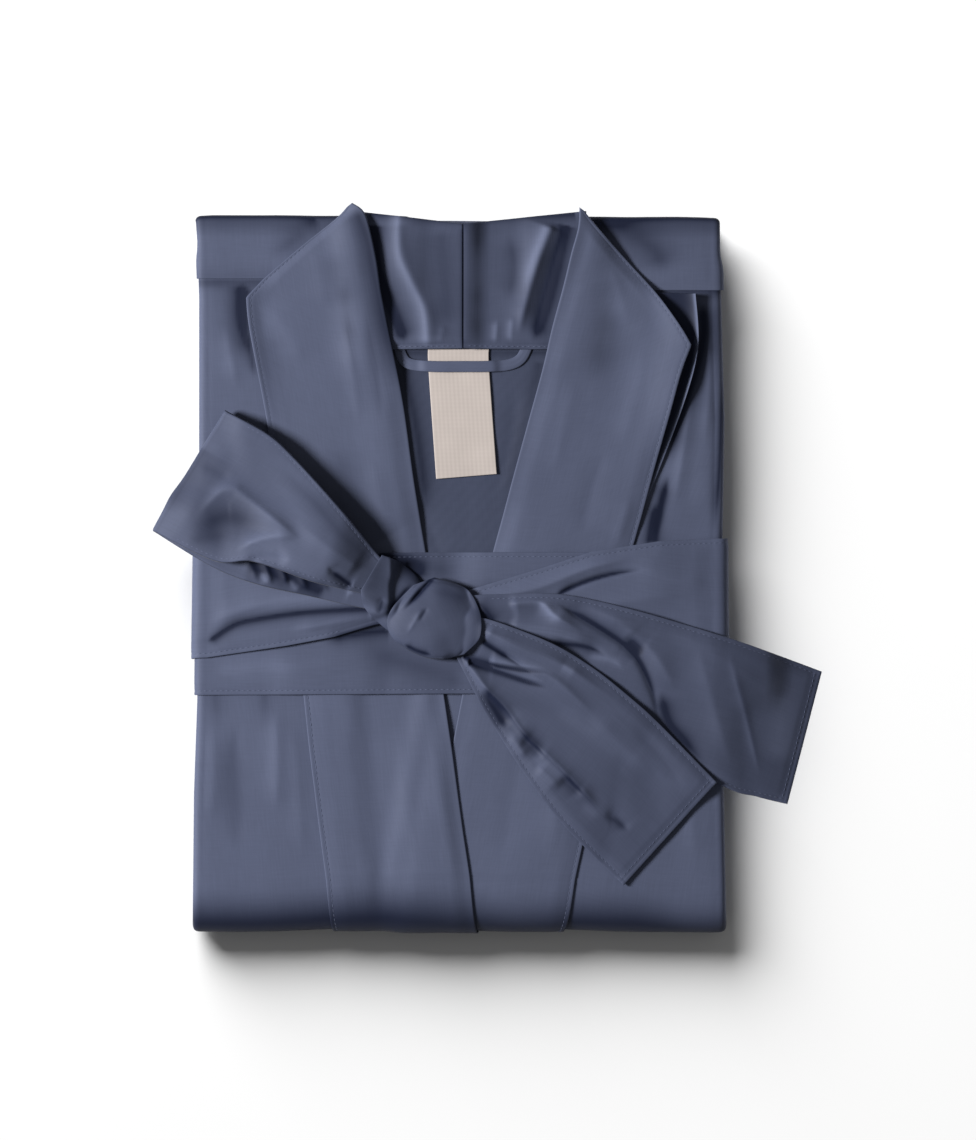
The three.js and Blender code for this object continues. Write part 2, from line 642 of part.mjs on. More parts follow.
const FRONT_BELT = [
  { x: -146, low: -63.6, high: 6.8 },
  { x: -20, low: -62.8, high: 8.0 },
  { x: 117, low: -62.8, high: 8.0 },
];
const LEFT_WRAP = [
  { x: -146, low: -45.6, high: 24.4 },
  { x: -101, low: -38.9, high: 18.1 },
  { x: -77, low: -34.4, high: 11.6 },
  { x: -57, low: -28.4, high: 6.1 },
  { x: -44, low: -26.0, high: 1.0 },
];
const RIGHT_WRAP = [
  { x: -13, low: -28.4, high: -11.9 },
  { x: 27, low: -40.5, high: 0.2 },
  { x: 52, low: -46.0, high: 8.4 },
  { x: 86, low: -52.0, high: 13.6 },
  { x: 117, low: -55.0, high: 15.0 },
];

const SASH_MIDDLE = -26;
const leftSide = beltStations('left', SASH_MIDDLE).reverse();
const rightSide = beltStations('right', SASH_MIDDLE);
const flatStations = steps(leftSide.at(-1), rightSide[0], 20).slice(1, -1);
addSheet('belt_front', sashPlan([...leftSide, ...flatStations, ...rightSide], FRONT_BELT, 5), {
  wall: SASH_WALL, place: roundSides, reach: 3, soften: 2,
});
const leftWrapStations = [...leftSide, ...steps(leftSide.at(-1), LEFT_WRAP.at(-1).x, 10).slice(1)];
addSheet('belt_wrap_left', sashPlan(leftWrapStations, LEFT_WRAP, 6), {
  wall: SASH_WALL, place: roundSides,
  relief: ridges([
    { x1: -140, y1: -28, x2: -58, y2: -16, wide: 4, high: 1.4 },
    { x1: -120, y1: -6, x2: -58, y2: -6, wide: 5, high: 1.6 },
  ]),
});
const rightWrapStations = [...steps(RIGHT_WRAP[0].x, rightSide[0], 14).slice(0, -1), ...rightSide];
addSheet('belt_wrap_right', sashPlan(rightWrapStations, RIGHT_WRAP, 6), {
  wall: SASH_WALL, place: roundSides,
  relief: ridges([
    { x1: -8, y1: -18, x2: 70, y2: -4, wide: 5, high: 1.8 },
    { x1: 0, y1: -10, x2: 60, y2: 6, wide: 3.5, high: 1.0 },
  ]),
});

// The back stretch lies under the stack, flush with its underside.
const BACK_END_INSET = 0.5;

function beltBack() {
  const { low, high } = BELT_BACK;
  const left = leftEdge(SASH_MIDDLE) + BACK_END_INSET;
  const right = rightEdge(SASH_MIDDLE) - BACK_END_INSET;
  const layer = (z) => steps(left, right, 8).map((x) => [low, high].map((y) => new THREE.Vector3(x, y, z)));
  return gridSolid(layer(0), layer(SASH_WALL));
}
addPiece('belt_back', beltBack());

// ---- Bow: tails, loop, knot ------------------------------------------------------------
addSheet('tail_upper', ruledPlan([
  { ax: -8.0, ay: -13.5, bx: -8.0, by: -28.4 },
  { ax: 4.0, ay: -13.0, bx: 4.0, by: -36.0 },
  { ax: 35.9, ay: -13.0, bx: 35.9, by: -55.9 },
  { ax: 71.4, ay: -20.4, bx: 68.4, by: -80.9 },
  { ax: 118.9, ay: -34.4, bx: 117.4, by: -108.9 },
  { ax: 143.4, ay: -42.9, bx: 134.4, by: -114.4 },
  { ax: 167.6, ay: -51.9, bx: 150.0, by: -118.3 },
], 9, 8), {
  wall: SASH_WALL, place: hangingOut(0.18),
  relief: ridges([
    { x1: 24, y1: -16, x2: 62, y2: -34, wide: 4, high: 2.2 },
    { x1: 40, y1: -14, x2: 84, y2: -60, wide: 5, high: 1.8 },
    { x1: 122, y1: -44, x2: 130, y2: -92, wide: 6, high: 1.0 },
  ]),
});

addSheet('tail_lower', ruledPlan([
  { ax: -9.1, ay: -25.9, bx: -16.6, by: -43.4 },
  { ax: 0.1, ay: -25.4, bx: -14.6, by: -47.1 },
  { ax: 30.7, ay: -36.9, bx: -1.1, by: -72.6 },
  { ax: 52.4, ay: -49.7, bx: 14.1, by: -96.9 },
  { ax: 71.5, ay: -64.9, bx: 26.4, by: -114.4 },
  { ax: 85.6, ay: -77.7, bx: 39.9, by: -130.9 },
  { ax: 114.3, ay: -107.0, bx: 67.7, by: -158.7 },
], 8, 8), {
  wall: SASH_WALL, place: hangingOut(0),
  relief: ridges([
    { x1: -4, y1: -34, x2: 30, y2: -44, wide: 4, high: 3.0 },
    { x1: -6, y1: -44, x2: 20, y2: -96, wide: 5, high: 2.6 },
    { x1: 20, y1: -40, x2: 90, y2: -100, wide: 7, high: 1.6 },
  ]),
});

// The loop runs out to the left, turns over at its far end and comes back on top.
const LOOP_UNDER = [
  { ax: -50.1, ay: 1.6, bx: -51.6, by: -19.9 },
  { ax: -54.8, ay: 4.1, bx: -60.2, by: -20.4 },
  { ax: -73.6, ay: 27.1, bx: -91.6, by: -13.4 },
  { ax: -96.6, ay: 53.1, bx: -116.1, by: -7.9 },
  { ax: -109.9, ay: 66.1, bx: -137.8, by: 0.6 },
  { ax: -128.0, ay: 77.0, bx: -164.7, by: 17.0 },
];
const LOOP_OVER = [
  { ax: -50.1, ay: 3.1, bx: -51.6, by: -15.9 },
  { ax: -54.8, ay: 6.6, bx: -61.6, by: -12.9 },
  { ax: -73.6, ay: 29.6, bx: -87.1, by: -6.9 },
  { ax: -96.6, ay: 55.1, bx: -116.6, by: 3.1 },
  { ax: -109.9, ay: 67.1, bx: -133.1, by: 7.1 },
  { ax: -128.0, ay: 77.0, bx: -164.7, by: 17.0 },
];
const LOOP_TURN_STEPS = 5;
const loopRise = (p) => 6.5 * ease(0, 0.35, p.u) * (0.55 + 0.45 * Math.sin(Math.PI * p.v));

function loopSolid() {
  const place = hangingOut(0.1);
  const under = lay(ruledPlan(LOOP_UNDER, 10, 7), { wall: SASH_WALL, place });
  const over = lay(ruledPlan(LOOP_OVER, 10, 7), {
    wall: SASH_WALL, place,
    relief: (p) => loopRise(p) + ridges([
      { x1: -144, y1: 28, x2: -96, y2: 16, wide: 8, high: 3.5 },
      { x1: -125, y1: 12, x2: -94, y2: 13, wide: 5, high: 1.5 },
    ])(p),
  });
  const outer = under.map((row) => row.map((p) => p.lower));
  const inner = under.map((row) => row.map((p) => p.upper));
  const lastUnder = under.at(-1);
  const lastOver = over.at(-1);
  const outward = new THREE.Vector3(
    LOOP_OVER.at(-1).by - LOOP_OVER.at(-1).ay, LOOP_OVER.at(-1).ax - LOOP_OVER.at(-1).bx, 0).normalize();
  for (const turn of steps(0, Math.PI, LOOP_TURN_STEPS).slice(1, -1)) {
    const arc = (low, high) => {
      const half = high.clone().sub(low).multiplyScalar(0.5);
      const middle = low.clone().add(half);
      const reach = half.length() * Math.sin(turn);
      return middle.addScaledVector(half, -Math.cos(turn)).addScaledVector(outward, reach);
    };
    outer.push(lastUnder.map((p, j) => arc(p.lower, lastOver[j].upper)));
    inner.push(lastUnder.map((p, j) => arc(p.upper, lastOver[j].lower)));
  }
  for (const row of [...over].reverse()) {
    outer.push(row.map((p) => p.upper));
    inner.push(row.map((p) => p.lower));
  }
  return gridSolid(inner, outer);
}
addPiece('bow_loop', loopSolid());

// A rolled lump of cloth: a sheet whose wall swells to `high` in the middle.
function lump(high) {
  return (p) => {
    const across = 1 - Math.abs(2 * p.v - 1) ** 2.2;
    const along = 1 - Math.abs(2 * p.u - 1) ** 2.6;
    return SASH_WALL + (high - SASH_WALL) * Math.sqrt(Math.max(0, across)) * Math.sqrt(Math.max(0, along));
  };
}

addSheet('knot', ruledPlan([
  { ax: -26.3, ay: -5.2, bx: -37.5, by: -12.5 },
  { ax: -16.6, ay: -7.4, bx: -47.0, by: -22.0 },
  { ax: -10.0, ay: -11.0, bx: -49.6, by: -31.0 },
  { ax: -5.6, ay: -18.0, bx: -46.0, by: -37.0 },
  { ax: -3.4, ay: -26.0, bx: -38.0, by: -41.5 },
  { ax: -4.6, ay: -35.5, bx: -30.0, by: -44.8 },
  { ax: -12.0, ay: -43.0, bx: -22.0, by: -45.6 },
], 4.5, 9), { wall: lump(11), place: hangingOut(0), reach: 2, soften: 2 });

addSheet('knot_band', ruledPlan([
  { ax: -53.0, ay: 6.6, bx: -63.4, by: -11.0 },
  { ax: -45.0, ay: 3.5, bx: -61.8, by: -19.5 },
  { ax: -37.0, ay: -2.5, bx: -55.5, by: -26.5 },
  { ax: -33.5, ay: -8.5, bx: -50.5, by: -29.8 },
], 4.5, 7), { wall: lump(8), place: hangingOut(0), reach: 2, soften: 2 });

export default robe;
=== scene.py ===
"""Satin kimono robe, folded flat, with its sash tied in a half bow.

Every wall of cloth is laid on what lies under it. A lift map holds how far the cloth laid
so far stands above the skin of the folded layers; a new sheet takes its underside from
that map, adds its own folds and raises the map. Lengths are in millimetres until a mesh
is made. Left and right are as seen from above, with the collar at the top.
"""

import math
from collections import namedtuple

import bpy
import numpy as np
from bpy.props import FloatProperty, FloatVectorProperty, PointerProperty
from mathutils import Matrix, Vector


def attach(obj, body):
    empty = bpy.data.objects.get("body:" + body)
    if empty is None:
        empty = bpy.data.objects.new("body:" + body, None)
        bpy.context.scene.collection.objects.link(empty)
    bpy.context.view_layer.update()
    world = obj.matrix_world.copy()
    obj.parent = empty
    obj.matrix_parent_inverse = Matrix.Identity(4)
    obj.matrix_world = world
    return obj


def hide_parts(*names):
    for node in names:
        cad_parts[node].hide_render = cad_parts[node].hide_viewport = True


bl_info = {
    "name": "Folded kimono robe",
    "version": (1, 0, 0),
    "blender": (4, 5, 0),
    "location": "3D View > Sidebar > Robe",
    "description": "Dresses the frame of a folded satin robe with its tied sash",
    "category": "Object",
}

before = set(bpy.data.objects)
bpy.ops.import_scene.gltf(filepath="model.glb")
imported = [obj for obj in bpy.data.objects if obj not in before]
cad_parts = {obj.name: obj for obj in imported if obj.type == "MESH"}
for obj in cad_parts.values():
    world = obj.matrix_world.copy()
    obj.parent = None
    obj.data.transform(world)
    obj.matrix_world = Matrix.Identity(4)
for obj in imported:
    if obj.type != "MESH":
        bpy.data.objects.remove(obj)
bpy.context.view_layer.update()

MM = 0.001
BODY = "root"

# ---- Sizes shared with the frame ------------------------------------------------------
STACK_HEIGHT = 26.0          # folded layers under the outer panels, at the sides
CROWN = 1.6
BELT_DIP = 2.4
SECTIONS = 4                 # folded sections that show as layers at the edges
RIM = STACK_HEIGHT / SECTIONS / 2
RIM_SQUARENESS = 3.4
ROLL = STACK_HEIGHT / 2      # radius of the skirt's fold at the bottom
PANEL_OUT = 1.6              # outer panels stand this far off the skin
BELT_RECESS = 1.8
TOP_AT_LEFT, TOP_AT_RIGHT = 176.6, 175.6
BOTTOM_EDGE = -182.6
ROLL_LONG = 24.0             # its top half starts to turn this far from the edge
ROLL_ARC = 29.4              # length of that top half along the cloth
ROLL_Y = BOTTOM_EDGE + PANEL_OUT + ROLL_LONG
LEFT_END, RIGHT_END = -147.0, 116.4

Side = namedtuple("Side", "y left right")
SIDE_EDGES = (
    Side(176.0, -147.0, 116.4), Side(158.0, -145.6, 116.5), Side(136.0, -144.8, 116.7),
    Side(75.0, -144.8, 118.4), Side(4.0, -144.9, 117.3), Side(-66.0, -145.8, 117.5),
    Side(-113.0, -147.4, 118.0), Side(-161.0, -147.9, 119.0), Side(-182.0, -148.4, 119.6),
)
DrawBack = namedtuple("DrawBack", "start end soft back")
DRAW_BACKS = (DrawBack(-92, 52, 32, 1.75), DrawBack(-40, -4, 24, 0.9))

# ---- Cloth ----------------------------------------------------------------------------
PANEL_WALL = 0.55
BAND_WALL = 0.8
SASH_WALL = 0.8
TRIM_WALL = 0.5
GAP = 0.12
SKIN_LIFT = 0.7              # panels start this far above the skin
EDGE_ROUND = 0.42            # cloth edges are rounded over this width
SEAM_INSET = 2.2             # topstitching runs this far inside an edge
EDGE_STEPS = (0.0, 0.03, 0.12, 0.26, 0.44, 0.8, 1.3, 1.75, 2.2, 2.65, 3.2, 4.2)
STITCH_LENGTH = 1.9
STITCH_PITCH = 2.7
STITCH_RADIUS = 0.15
STITCH_SIDES = 5
# Along a stitch: share of its length, how far it stands out and share of its radius.
STITCH_PROFILE = ((0.0, -0.24, 0.35), (0.12, 0.0, 0.95), (0.5, 0.05, 1.0), (0.88, 0.0, 0.95),
                  (1.0, -0.24, 0.35))
LAST_STEPS = np.array([0.4, 0.18, 0.05, 0.0])      # stations this far before an edge
NOISE_CELLS = 64


def ease(start, end, value):
    t = np.clip((value - start) / (end - start), 0.0, 1.0)
    return t * t * (3 - 2 * t)


def look_up(table, key, at, column):
    rows = sorted(table, key=lambda row: getattr(row, key))
    keys = [getattr(row, key) for row in rows]
    return np.interp(at, keys, [getattr(row, column) for row in rows])


# ---- Skin of the folded layers ----------------------------------------------------------
def roll_axis(x):
    back = sum(b.back * ease(b.start - b.soft, b.start + b.soft, x)
               * ease(b.end + b.soft, b.end - b.soft, x) for b in DRAW_BACKS)
    return ROLL_Y + back


def roll_out(axis, turn, depth):
    """Y of the skirt's fold at a turn from its top; `depth` nears 1 at the heart."""
    upper = axis - (ROLL_LONG - depth * ROLL) * np.sin(turn)
    lower = axis - ROLL_LONG + ROLL - (1 - depth) * ROLL * np.sin(turn)
    return np.where(turn < math.pi / 2, upper, lower)


def left_rim(y):
    """Where the flat top ends and the left side's fold begins."""
    return look_up(SIDE_EDGES, "y", y, "left") + PANEL_OUT + RIM


def right_rim(y):
    return look_up(SIDE_EDGES, "y", y, "right") - PANEL_OUT - RIM


def top_rim(x):
    share = np.clip((x - LEFT_END) / (RIGHT_END - LEFT_END), 0, 1)
    return TOP_AT_LEFT + (TOP_AT_RIGHT - TOP_AT_LEFT) * share - PANEL_OUT - RIM


def stack_top(x, y):
    middle = (LEFT_END + RIGHT_END) / 2
    half = (RIGHT_END - LEFT_END) / 2
    across = 1 - np.clip((x - middle) / half, -1, 1) ** 2
    along = ease(-175, -120, y) * ease(180, 120, y)
    belt = ease(-100, -58, y) * ease(52, 10, y)
    return STACK_HEIGHT + CROWN * across * along - BELT_DIP * belt * (0.45 + 0.55 * across)


def squared(value):
    return np.sign(value) * np.abs(value) ** (2 / RIM_SQUARENESS)


def rim_sin(turn):
    return squared(np.sin(turn))


def rim_cos(turn):
    return squared(np.cos(turn))


def on_stack(flat_x, flat_y, lift):
    """Cloth that follows the stack over its edges, as points in an array (..., 3)."""
    left, right = left_rim(flat_y), right_rim(flat_y)
    base_x = np.clip(flat_x, left, right)
    past_x = flat_x - base_x
    turn_x = np.abs(past_x) / RIM
    height = np.where(past_x == 0, lift, rim_cos(turn_x) * (RIM + lift) - RIM)
    x = base_x + np.sign(past_x) * rim_sin(turn_x) * (RIM + lift)

    rim = top_rim(base_x)
    axis = roll_axis(base_x)
    over_top = flat_y > rim
    round_roll = flat_y < ROLL_Y
    top_turn = np.where(over_top, (flat_y - rim) / RIM, 0.0)
    past_axis = np.maximum(ROLL_Y - flat_y, 0.0)
    roll_turn = np.where(past_axis < ROLL_ARC, past_axis / ROLL_ARC * math.pi / 2,
                         math.pi / 2 + (past_axis - ROLL_ARC) / ROLL)
    drawn = (axis - ROLL_Y) * ease(ROLL_Y + 30, ROLL_Y, flat_y)
    y_roll = roll_out(axis, roll_turn, 0.0) - np.sin(roll_turn) * height
    y = np.where(over_top, rim + rim_sin(top_turn) * (RIM + height),
                 np.where(round_roll, y_roll, flat_y + drawn))
    z_top = stack_top(base_x, rim) - RIM + rim_cos(top_turn) * (RIM + height)
    z_roll = ROLL + np.cos(roll_turn) * (ROLL + height)
    z = np.where(over_top, z_top, np.where(round_roll, z_roll, stack_top(base_x, flat_y) + height))
    return np.stack([x, y, z], axis=-1)


def round_sides(flat_x, y, lift):
    """The taut sash: past the rim it runs straight down the side."""
    left, right = left_rim(y), right_rim(y)
    base = np.clip(flat_x, left, right)
    past = flat_x - base
    down = np.abs(past) - RIM * math.pi / 2
    points = on_stack(flat_x, y, lift)
    straight = down > 0
    points[..., 0] = np.where(straight, base + np.sign(past) * (RIM + lift), points[..., 0])
    points[..., 1] = np.where(straight, y, points[..., 1])
    points[..., 2] = np.where(straight, stack_top(base, y) - RIM - down, points[..., 2])
    return points


def hanging_out(droop):
    """Cloth that runs on past the stack's edge in the air, drooping as it goes."""
    def place(x, y, lift):
        left, right = left_rim(y), right_rim(y)
        out = np.maximum(0, np.maximum(x - right, left - x))
        base = stack_top(np.clip(x, left, right), np.clip(y, ROLL_Y, top_rim(x)))
        return np.stack([x, y, base + lift - droop * out ** 1.5 / 6], axis=-1)
    return place


# ---- Lift map ---------------------------------------------------------------------------
def spread_max(grid, reach):
    for axis in (0, 1):
        grid = np.max([np.roll(grid, shift, axis) for shift in range(-reach, reach + 1)], axis=0)
    return grid


def softened(grid, reach):
    for _ in range(2):
        for axis in (0, 1):
            shifts = range(-reach, reach + 1)
            grid = np.mean([np.roll(grid, shift, axis) for shift in shifts], axis=0)
    return grid


def bilinear(at, fu, fv):
    """Between four values of a grid; `at(dy, dx)` gives the one that many cells along."""
    lower = at(0, 0) * (1 - fu) + at(0, 1) * fu
    upper = at(1, 0) * (1 - fu) + at(1, 1) * fu
    return lower * (1 - fv) + upper * fv


class LiftMap:
    """Height of the cloth laid so far above the skin, on a grid of 1 mm cells."""
    left, bottom, columns, rows = -190, -216, 381, 406

    def __init__(self):
        self.height = np.full((self.rows, self.columns), SKIN_LIFT)

    def sample(self, grid, x, y):
        u = np.clip(x - self.left, 0, self.columns - 1.001)
        v = np.clip(y - self.bottom, 0, self.rows - 1.001)
        column, row = u.astype(int), v.astype(int)
        return bilinear(lambda dy, dx: grid[row + dy, column + dx], u - column, v - row)

    def raise_to(self, x, y, top):
        fine = [refined(values, 4) for values in (x, y, top)]
        column = np.clip(np.rint(fine[0] - self.left).astype(int), 0, self.columns - 1)
        row = np.clip(np.rint(fine[1] - self.bottom).astype(int), 0, self.rows - 1)
        np.maximum.at(self.height, (row, column), fine[2])


def refined(grid, times):
    """The grid with `times` linear steps in place of each of its own."""
    for _ in range(2):
        steps = np.arange(times)[None, :, None] / times
        grid = np.concatenate([
            (grid[:-1, None] * (1 - steps) + grid[1:, None] * steps).reshape(-1, grid.shape[1]), grid[-1:]])
        grid = grid.T
    return grid


lifts = LiftMap()


# ---- Noise and folds --------------------------------------------------------------------
def soft_noise(x, y, size, seed):
    """Smooth values from -1 to 1 on a lattice of `size`, the same on every run."""
    lattice = np.random.default_rng(seed).uniform(-1, 1, (NOISE_CELLS, NOISE_CELLS))
    u, v = np.asarray(x) / size + NOISE_CELLS / 2, np.asarray(y) / size + NOISE_CELLS / 2
    column, row = np.floor(u).astype(int), np.floor(v).astype(int)
    fu, fv = u - column, v - row
    fu, fv = fu * fu * (3 - 2 * fu), fv * fv * (3 - 2 * fv)
    return bilinear(lambda dy, dx: lattice[(row + dy) % NOISE_CELLS, (column + dx) % NOISE_CELLS], fu, fv)


def smooth_line(points, steps):
    """Catmull-Rom curve through the points; a point given twice is a sharp corner."""
    for k in range(1, len(points)):
        if points[k] == points[k - 1]:
            return np.vstack([smooth_line(points[:k], steps), smooth_line(points[k:], steps)])
    p = np.array(points, float)
    padded = np.vstack([p[:1], p, p[-1:]])
    t = np.arange(steps)[:, None] / steps
    pieces = []
    for a, b, c, d in zip(padded, padded[1:], padded[2:], padded[3:]):
        pieces.append(0.5 * (2 * b + (c - a) * t + (2 * a - 5 * b + 4 * c - d) * t ** 2
                             + (3 * b - a - 3 * c + d) * t ** 3))
    return np.vstack([*pieces, p[-1:]])


# A fold runs along `path`. `high` is its height, less than 0 for a trough; `lean` over 0
# makes its left side broad and its right side steep; `fade` is the share of its length
# over which each end dies away.
Fold = namedtuple("Fold", "path wide high lean fade", defaults=(0.0, (0.3, 0.3)))
# A stroke has the fields of a fold but paints shade and light into the colour: 1 a painted highlight, -1
# painted shade.
ShadeStroke = Fold                # the same for a tone: 1 is light, -1 dark


def fold_relief(folds, x, y):
    total = np.zeros_like(x)
    for fold in folds:
        line = smooth_line(fold.path, 5)
        lengths = np.hypot(*np.diff(line, axis=0).T)
        starts = np.concatenate([[0], np.cumsum(lengths)])
        best = np.full_like(x, 1e9)
        along = np.zeros_like(x)
        side = np.zeros_like(x)
        for (ax, ay), (bx, by), start, length in zip(line, line[1:], starts, lengths):
            if length < 1e-9:
                continue
            ux, uy = (bx - ax) / length, (by - ay) / length
            t = np.clip((x - ax) * ux + (y - ay) * uy, 0, length)
            away = np.hypot(x - ax - ux * t, y - ay - uy * t)
            nearer = away < best
            best = np.where(nearer, away, best)
            along = np.where(nearer, start + t, along)
            side = np.where(nearer, np.sign(ux * (y - ay) - uy * (x - ax)), side)
        share = along / starts[-1]
        first, last = (max(f, 1e-3) for f in fold.fade)
        fading = ease(0, first, share) * ease(1, 1 - last, share)
        wide = fold.wide * (1 + fold.lean * side) * (0.4 + 0.6 * fading)
        crest = 0.3 * fold.wide
        profile = np.exp(-(np.sqrt(best ** 2 + crest ** 2) - crest) / wide)
        total += fold.high * profile * fading
    return total


# ---- Sheets -----------------------------------------------------------------------------
Ruling = namedtuple("Ruling", "ax ay bx by")
SHEET_SPACING = 1.7


def spaced(length, spacing):
    """Shares of a length, close together near both of its ends."""
    low = [step / length for step in EDGE_STEPS]
    high = [1 - share for share in reversed(low)]
    count = max(1, round((high[0] - low[-1]) * length / spacing))
    return np.array([*low, *np.linspace(low[-1], high[0], count + 1)[1:-1], *high])


class Sheet:
    """A grid over the plan: x and y along the cloth and distances to its four edges."""

    def __init__(self, x, y):
        self.x, self.y = x, y
        rows = np.hypot(np.diff(x, axis=1), np.diff(y, axis=1))
        columns = np.hypot(np.diff(x, axis=0), np.diff(y, axis=0))
        self.from_a = np.concatenate([np.zeros((len(x), 1)), np.cumsum(rows, axis=1)], axis=1)
        self.from_b = self.from_a[:, -1:] - self.from_a
        self.from_start = np.concatenate([np.zeros((1, x.shape[1])), np.cumsum(columns, axis=0)])
        self.from_end = self.from_start[-1:] - self.from_start
        self.away = {"a": self.from_a, "b": self.from_b, "s": self.from_start, "e": self.from_end}
        # Painted shade and light of the cloth; 0.5 paints none.
        self.nap = np.full_like(x, 0.5)
        self.u = self.from_start / self.from_start[-1:]
        self.v = self.from_a / self.from_a[:, -1:]

    @property
    def nearest_edge(self):
        return np.minimum.reduce(list(self.away.values()))

    @property
    def flat_size(self):
        """Width, length and area of the cut, in metres."""
        width = self.from_a[:, -1].max()
        length = self.from_start[-1].max()
        cross = (np.diff(self.x, axis=1)[:-1] * np.diff(self.y, axis=0)[:, :-1]
                 - np.diff(self.y, axis=1)[:-1] * np.diff(self.x, axis=0)[:, :-1])
        area = abs(cross.sum())
        return width * MM, length * MM, min(area, width * length) * MM * MM


def ruled(rulings, spacing=SHEET_SPACING):
    """Rows are straight from side a to side b; the sides are smooth curves."""
    steps = 24
    side_a = smooth_line([(r.ax, r.ay) for r in rulings], steps)
    side_b = smooth_line([(r.bx, r.by) for r in rulings], steps)
    middle = (side_a + side_b) / 2
    run = np.concatenate([[0], np.cumsum(np.hypot(*np.diff(middle, axis=0).T))])
    at = spaced(run[-1], spacing) * run[-1]
    a = np.stack([np.interp(at, run, side_a[:, k]) for k in (0, 1)], axis=-1)
    b = np.stack([np.interp(at, run, side_b[:, k]) for k in (0, 1)], axis=-1)
    width = np.hypot(*(b - a).T).max()
    v = spaced(width, spacing)[None, :, None]
    grid = a[:, None] * (1 - v) + b[:, None] * v
    return Sheet(grid[..., 0], grid[..., 1])


def between(y, inner, outer, spacing):
    """Rows at each y from one x to another, for cloth that runs over the edges."""
    v = spaced(np.abs(outer - inner).max(), spacing)[None, :]
    x = inner[:, None] * (1 - v) + outer[:, None] * v
    return Sheet(x, np.repeat(y[:, None], v.shape[1], axis=1))


def run_of(start, end, spacing=SHEET_SPACING):
    """Values from start to end, close together near both."""
    return start + (end - start) * spaced(abs(end - start), spacing)


def edge_relief(sheet, sides, depth=0.13, pucker=0.06):
    """Topstitched edges: a groove along the stitches and small puckers by it."""
    total = np.zeros_like(sheet.x)
    for side in sides:
        away = sheet.away[side]
        along = sheet.from_start if side in "ab" else sheet.from_a
        total += 0.06 * np.exp(-((away - SEAM_INSET * 0.5) / 0.8) ** 2)
        total -= depth * np.exp(-((away - SEAM_INSET) / 0.45) ** 2)
        wave = soft_noise(along, away * 0.4 + 11 * ord(side), 3.2, 5)
        total += pucker * wave * np.exp(-away / 4.5)
    return total


def lay(sheet, wall=SASH_WALL, relief=None, surface=None, soften=3,
        place=on_stack, edge=None, crown=None):
    """Puts a sheet on what lies below. `relief` lifts the whole wall, `surface` shapes
    its top alone and `crown` is the height that a padded wall fills; all are arrays over
    the grid. `edge` gives the widths over which the sides a and b, the start and the end
    are rounded, where not like the rest."""
    covered = spread_max(lifts.height, 2 * soften + 1)
    bottom = lifts.sample(softened(covered, soften), sheet.x, sheet.y) + GAP
    if relief is not None:
        bottom = bottom + np.maximum(0, relief)
    widths = {**dict.fromkeys("abse", EDGE_ROUND), **(edge or {})}
    nearest = np.minimum.reduce([sheet.away[side] / widths[side] for side in "abse"])
    if np.isscalar(wall):
        wall = np.full_like(sheet.x, wall)
    if crown is not None:
        wall = wall + positive(crown - bottom - wall)
    if surface is not None:
        wall = np.maximum(0.3, wall + surface)
    rounding = np.sqrt(1 - (1 - np.clip(nearest, 0, 1)) ** 2)
    middle = bottom + wall / 2
    sheet.bottom = middle - wall / 2 * rounding
    sheet.top = middle + wall / 2 * rounding
    sheet.lower = place(sheet.x, sheet.y, sheet.bottom)
    sheet.upper = place(sheet.x, sheet.y, sheet.top)
    lifts.raise_to(sheet.x, sheet.y, bottom + wall)


# ---- Meshes -----------------------------------------------------------------------------
def make_object(name, points, faces, uv=None, nap=None):
    mesh = bpy.data.meshes.new(name)
    mesh.from_pydata((np.asarray(points) * MM).tolist(), [], faces)
    # A vertex value of painted shade and light for the satin's colour: 0.5 leaves the colour as it is, less
    # paints shade and more paints a highlight.
    if nap is None:
        nap = np.full(len(points), 0.5)
    mesh.attributes.new("nap", "FLOAT", "POINT").data.foreach_set("value", np.asarray(nap, np.float32))
    if uv is not None:
        layer = mesh.uv_layers.new(name="cloth")
        loops = np.zeros(len(mesh.loops), int)
        mesh.loops.foreach_get("vertex_index", loops)
        layer.data.foreach_set("uv", (np.asarray(uv)[loops] * MM).ravel())
    mesh.validate()
    mesh.polygons.foreach_set("use_smooth", [True] * len(mesh.polygons))
    obj = bpy.data.objects.new(name, mesh)
    bpy.context.scene.collection.objects.link(obj)
    face_outwards(obj)
    return obj


def face_outwards(obj):
    """Recalculates the normals in edit mode, as by hand."""
    bpy.ops.object.select_all(action="DESELECT")
    bpy.context.view_layer.objects.active = obj
    obj.select_set(True)
    bpy.ops.object.mode_set(mode="EDIT")
    bpy.ops.mesh.select_all(action="SELECT")
    bpy.ops.mesh.normals_make_consistent(inside=False)
    bpy.ops.object.mode_set(mode="OBJECT")
    obj.select_set(False)


def grid_faces(rows, columns, index):
    i, j = np.meshgrid(np.arange(rows - 1), np.arange(columns - 1), indexing="ij")
    corners = [index[i, j], index[i, j + 1], index[i + 1, j + 1], index[i + 1, j]]
    return np.stack(corners, axis=-1).reshape(-1, 4)


def shell_object(name, lower, upper, along, across, nap):
    """Closed shell: the two walls share the points round their border."""
    rows, columns = upper.shape[:2]
    top_index = np.arange(rows * columns).reshape(rows, columns)
    bottom_index = top_index.copy()
    inside = (rows - 2) * (columns - 2)
    bottom_index[1:-1, 1:-1] = rows * columns + np.arange(inside).reshape(rows - 2, columns - 2)
    points = np.concatenate([upper.reshape(-1, 3), lower[1:-1, 1:-1].reshape(-1, 3)])
    flat = np.stack([across, along], axis=-1)
    uv = np.concatenate([flat.reshape(-1, 2), flat[1:-1, 1:-1].reshape(-1, 2)])
    top = grid_faces(rows, columns, top_index)
    bottom = grid_faces(rows, columns, bottom_index)[:, ::-1]
    tones = np.concatenate([nap.ravel(), nap[1:-1, 1:-1].ravel()])
    return make_object(name, points, np.concatenate([top, bottom]).tolist(), uv, tones)


